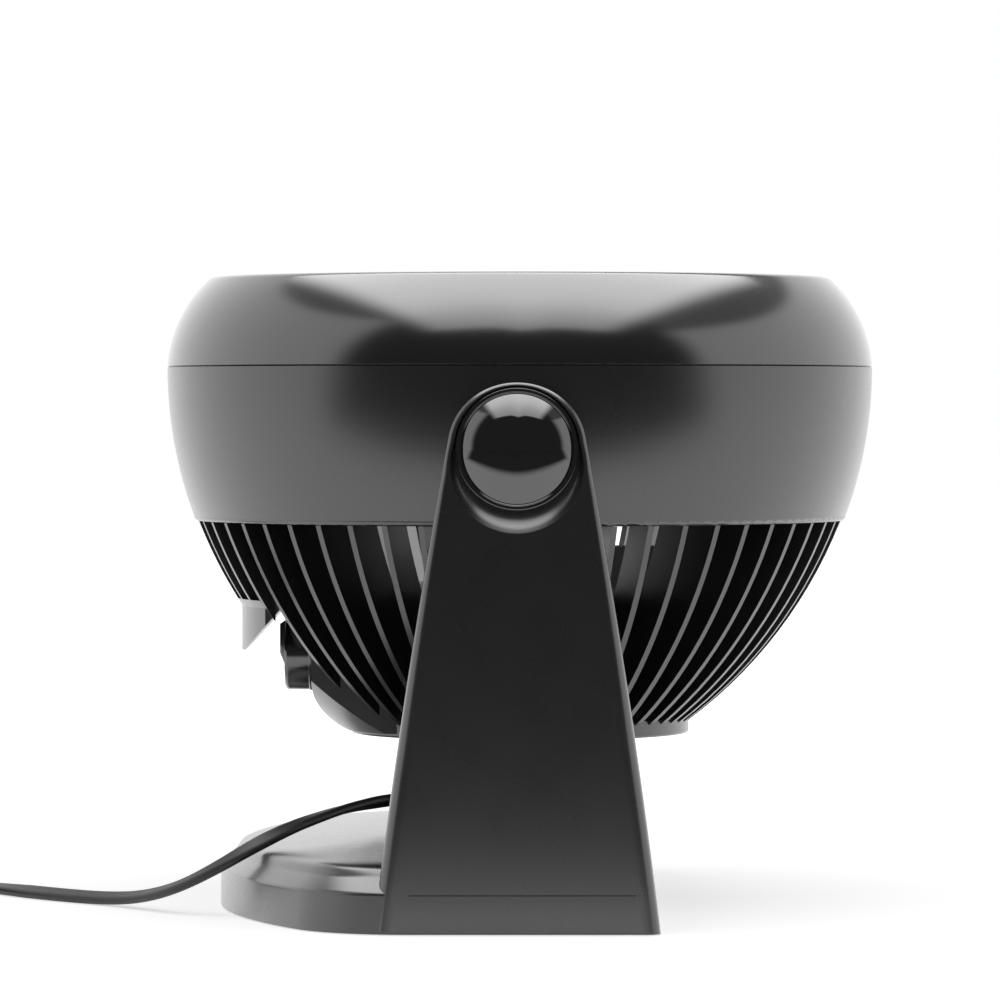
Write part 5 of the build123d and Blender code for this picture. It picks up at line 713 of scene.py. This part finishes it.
def seen(wire):
    """Two wires: 1 for rays from the camera, straight or through glass, and 1 for mirrored rays."""
    straight, through, mirrored = [wire.add("LightPath", {}, {}, "Is " + kind + " Ray")
                                   for kind in ("Camera", "Transmission", "Glossy")]
    return straight.math("MAXIMUM", straight, through), mirrored


def eased(wire, low, high):
    """0 below low, 1 above high, and a smooth step between them."""
    limits = {"Value": wire, "From Min": low, "From Max": high}
    return wire.add("MapRange", {"interpolation_type": "SMOOTHSTEP"}, limits)


def grey(wire):
    """A colour whose three parts are one wire."""
    return wire.add("CombineColor", {}, {0: wire, 1: wire, 2: wire})


distance = floor_white.add("VectorMath", {"operation": "LENGTH"}, {0: floor_white}, 1)
ahead = floor_white.add("SeparateXYZ", {}, {0: floor_white}, "Y")
beside = eased(ahead * distance ** -1.0, *ROOM_EDGE)
from_front = beside.math("MAXIMUM", beside, eased(ahead, *TABLE_EDGE))
near = 1 - eased(distance, *FLOOR_NEAR)
viewed, mirrored = seen(floor_white)
glow = viewed * (1 - FLOOR_SHADE * near * from_front) + mirrored * (FLOOR_MIRRORED * from_front)
floor_white.drive("Base Color", floor_white.mixed(from_front, FLOOR_DARK, FLOOR_LIGHT))
floor_white.drive("Emission Color", grey(glow))
floor_white.shader.inputs["Emission Strength"].default_value = 1.0
paint(floor, floor_white)

# The mirrored room: white, dimmed above the ceiling's edge, which stands a little lower on the +X side.
world = bpy.data.worlds.new("studio")
bpy.context.scene.world = world
world.use_nodes = True
sky = Wire(world.node_tree, world.node_tree.nodes.new("ShaderNodeTexCoord").outputs["Generated"])
sideways, away, height = [sky.add("SeparateXYZ", {}, {0: sky}, axis) for axis in "XYZ"]
viewed, mirrored = seen(sky)
ceiling = eased(height + CEILING_TILT * eased(sideways, *CEILING_TILT_SPAN), *CEILING_EDGE)
room = eased(away, *ROOM_EDGE) * (1 - CEILING_DIMMED * ceiling)
other = 1 - viewed.math("MAXIMUM", viewed, mirrored)
level = viewed + mirrored * (ROOM_DARKEST + (1 - ROOM_DARKEST) * room) + other * ROOM_OTHER
background = world.node_tree.nodes["Background"]
world.node_tree.links.new(grey(level).socket, background.inputs["Color"])
background.inputs["Strength"].default_value = 1.0


def soft_lamp(name, place, target, width, depth, strength):
    """A rectangular soft lamp that faces its target; its power is the strength times pi times its area."""
    lamp = bpy.data.lights.new(name, "AREA")
    lamp.shape, lamp.size, lamp.size_y = "RECTANGLE", width, depth
    lamp.energy = strength * pi * width * depth
    holder = bpy.data.objects.new(name, lamp)
    holder.location = place
    holder.rotation_euler = (Vector(target) - Vector(place)).to_track_quat("-Z", "Y").to_euler()
    bpy.context.scene.collection.objects.link(holder)
    return holder


# Each lamp's place, target, width, depth and strength.
MIRRORED_LAMP = ((0.05, -0.55, 1.75), (0.05, -0.54, 0.0), 3.3, 3.4, 3.4)
FILLING_LAMP = ((0.1, -0.5, 1.6), (0.0, 0.0, 0.1), 1.6, 1.4, 0.55)
SETBACK, SETBACK_SPAN = 0.07, (-0.03, 0.12)
FRONT_FIRST, FRONT_FIRST_SHARE, FRONT_WHOLE = 0.04, 0.45, 0.5
SIDE_IN, SIDE_OUT = (0.07, 0.20), (0.79, 0.93)
mirrored_lamp = soft_lamp("lamp_mirrored", *MIRRORED_LAMP)
mirrored_lamp.visible_diffuse = False
mirrored_lamp.data.use_nodes = True
lamp_tree = mirrored_lamp.data.node_tree
spot = Wire(lamp_tree, lamp_tree.nodes.new("ShaderNodeNewGeometry").outputs["Parametric"])
along, up = [spot.add("SeparateXYZ", {}, {0: spot}, axis) for axis in "XY"]
# The lamp's share of its strength at each spot: its front edge brightens in two steps, and is set back a
# little except in the middle; both sides fade.
setback = SETBACK * eased(along.math("ABSOLUTE", along - 0.5), *SETBACK_SPAN)
first_step = FRONT_FIRST_SHARE * eased(up - setback, 0.0, FRONT_FIRST)
front_edge = first_step + (1 - FRONT_FIRST_SHARE) * eased(up - setback, 0.0, FRONT_WHOLE)
share = front_edge * eased(along, *SIDE_IN) * (1 - eased(along, *SIDE_OUT))
lamp_tree.links.new(share.socket, lamp_tree.nodes["Emission"].inputs["Strength"])
filling_lamp = soft_lamp("lamp_filling", *FILLING_LAMP)
filling_lamp.visible_glossy = False
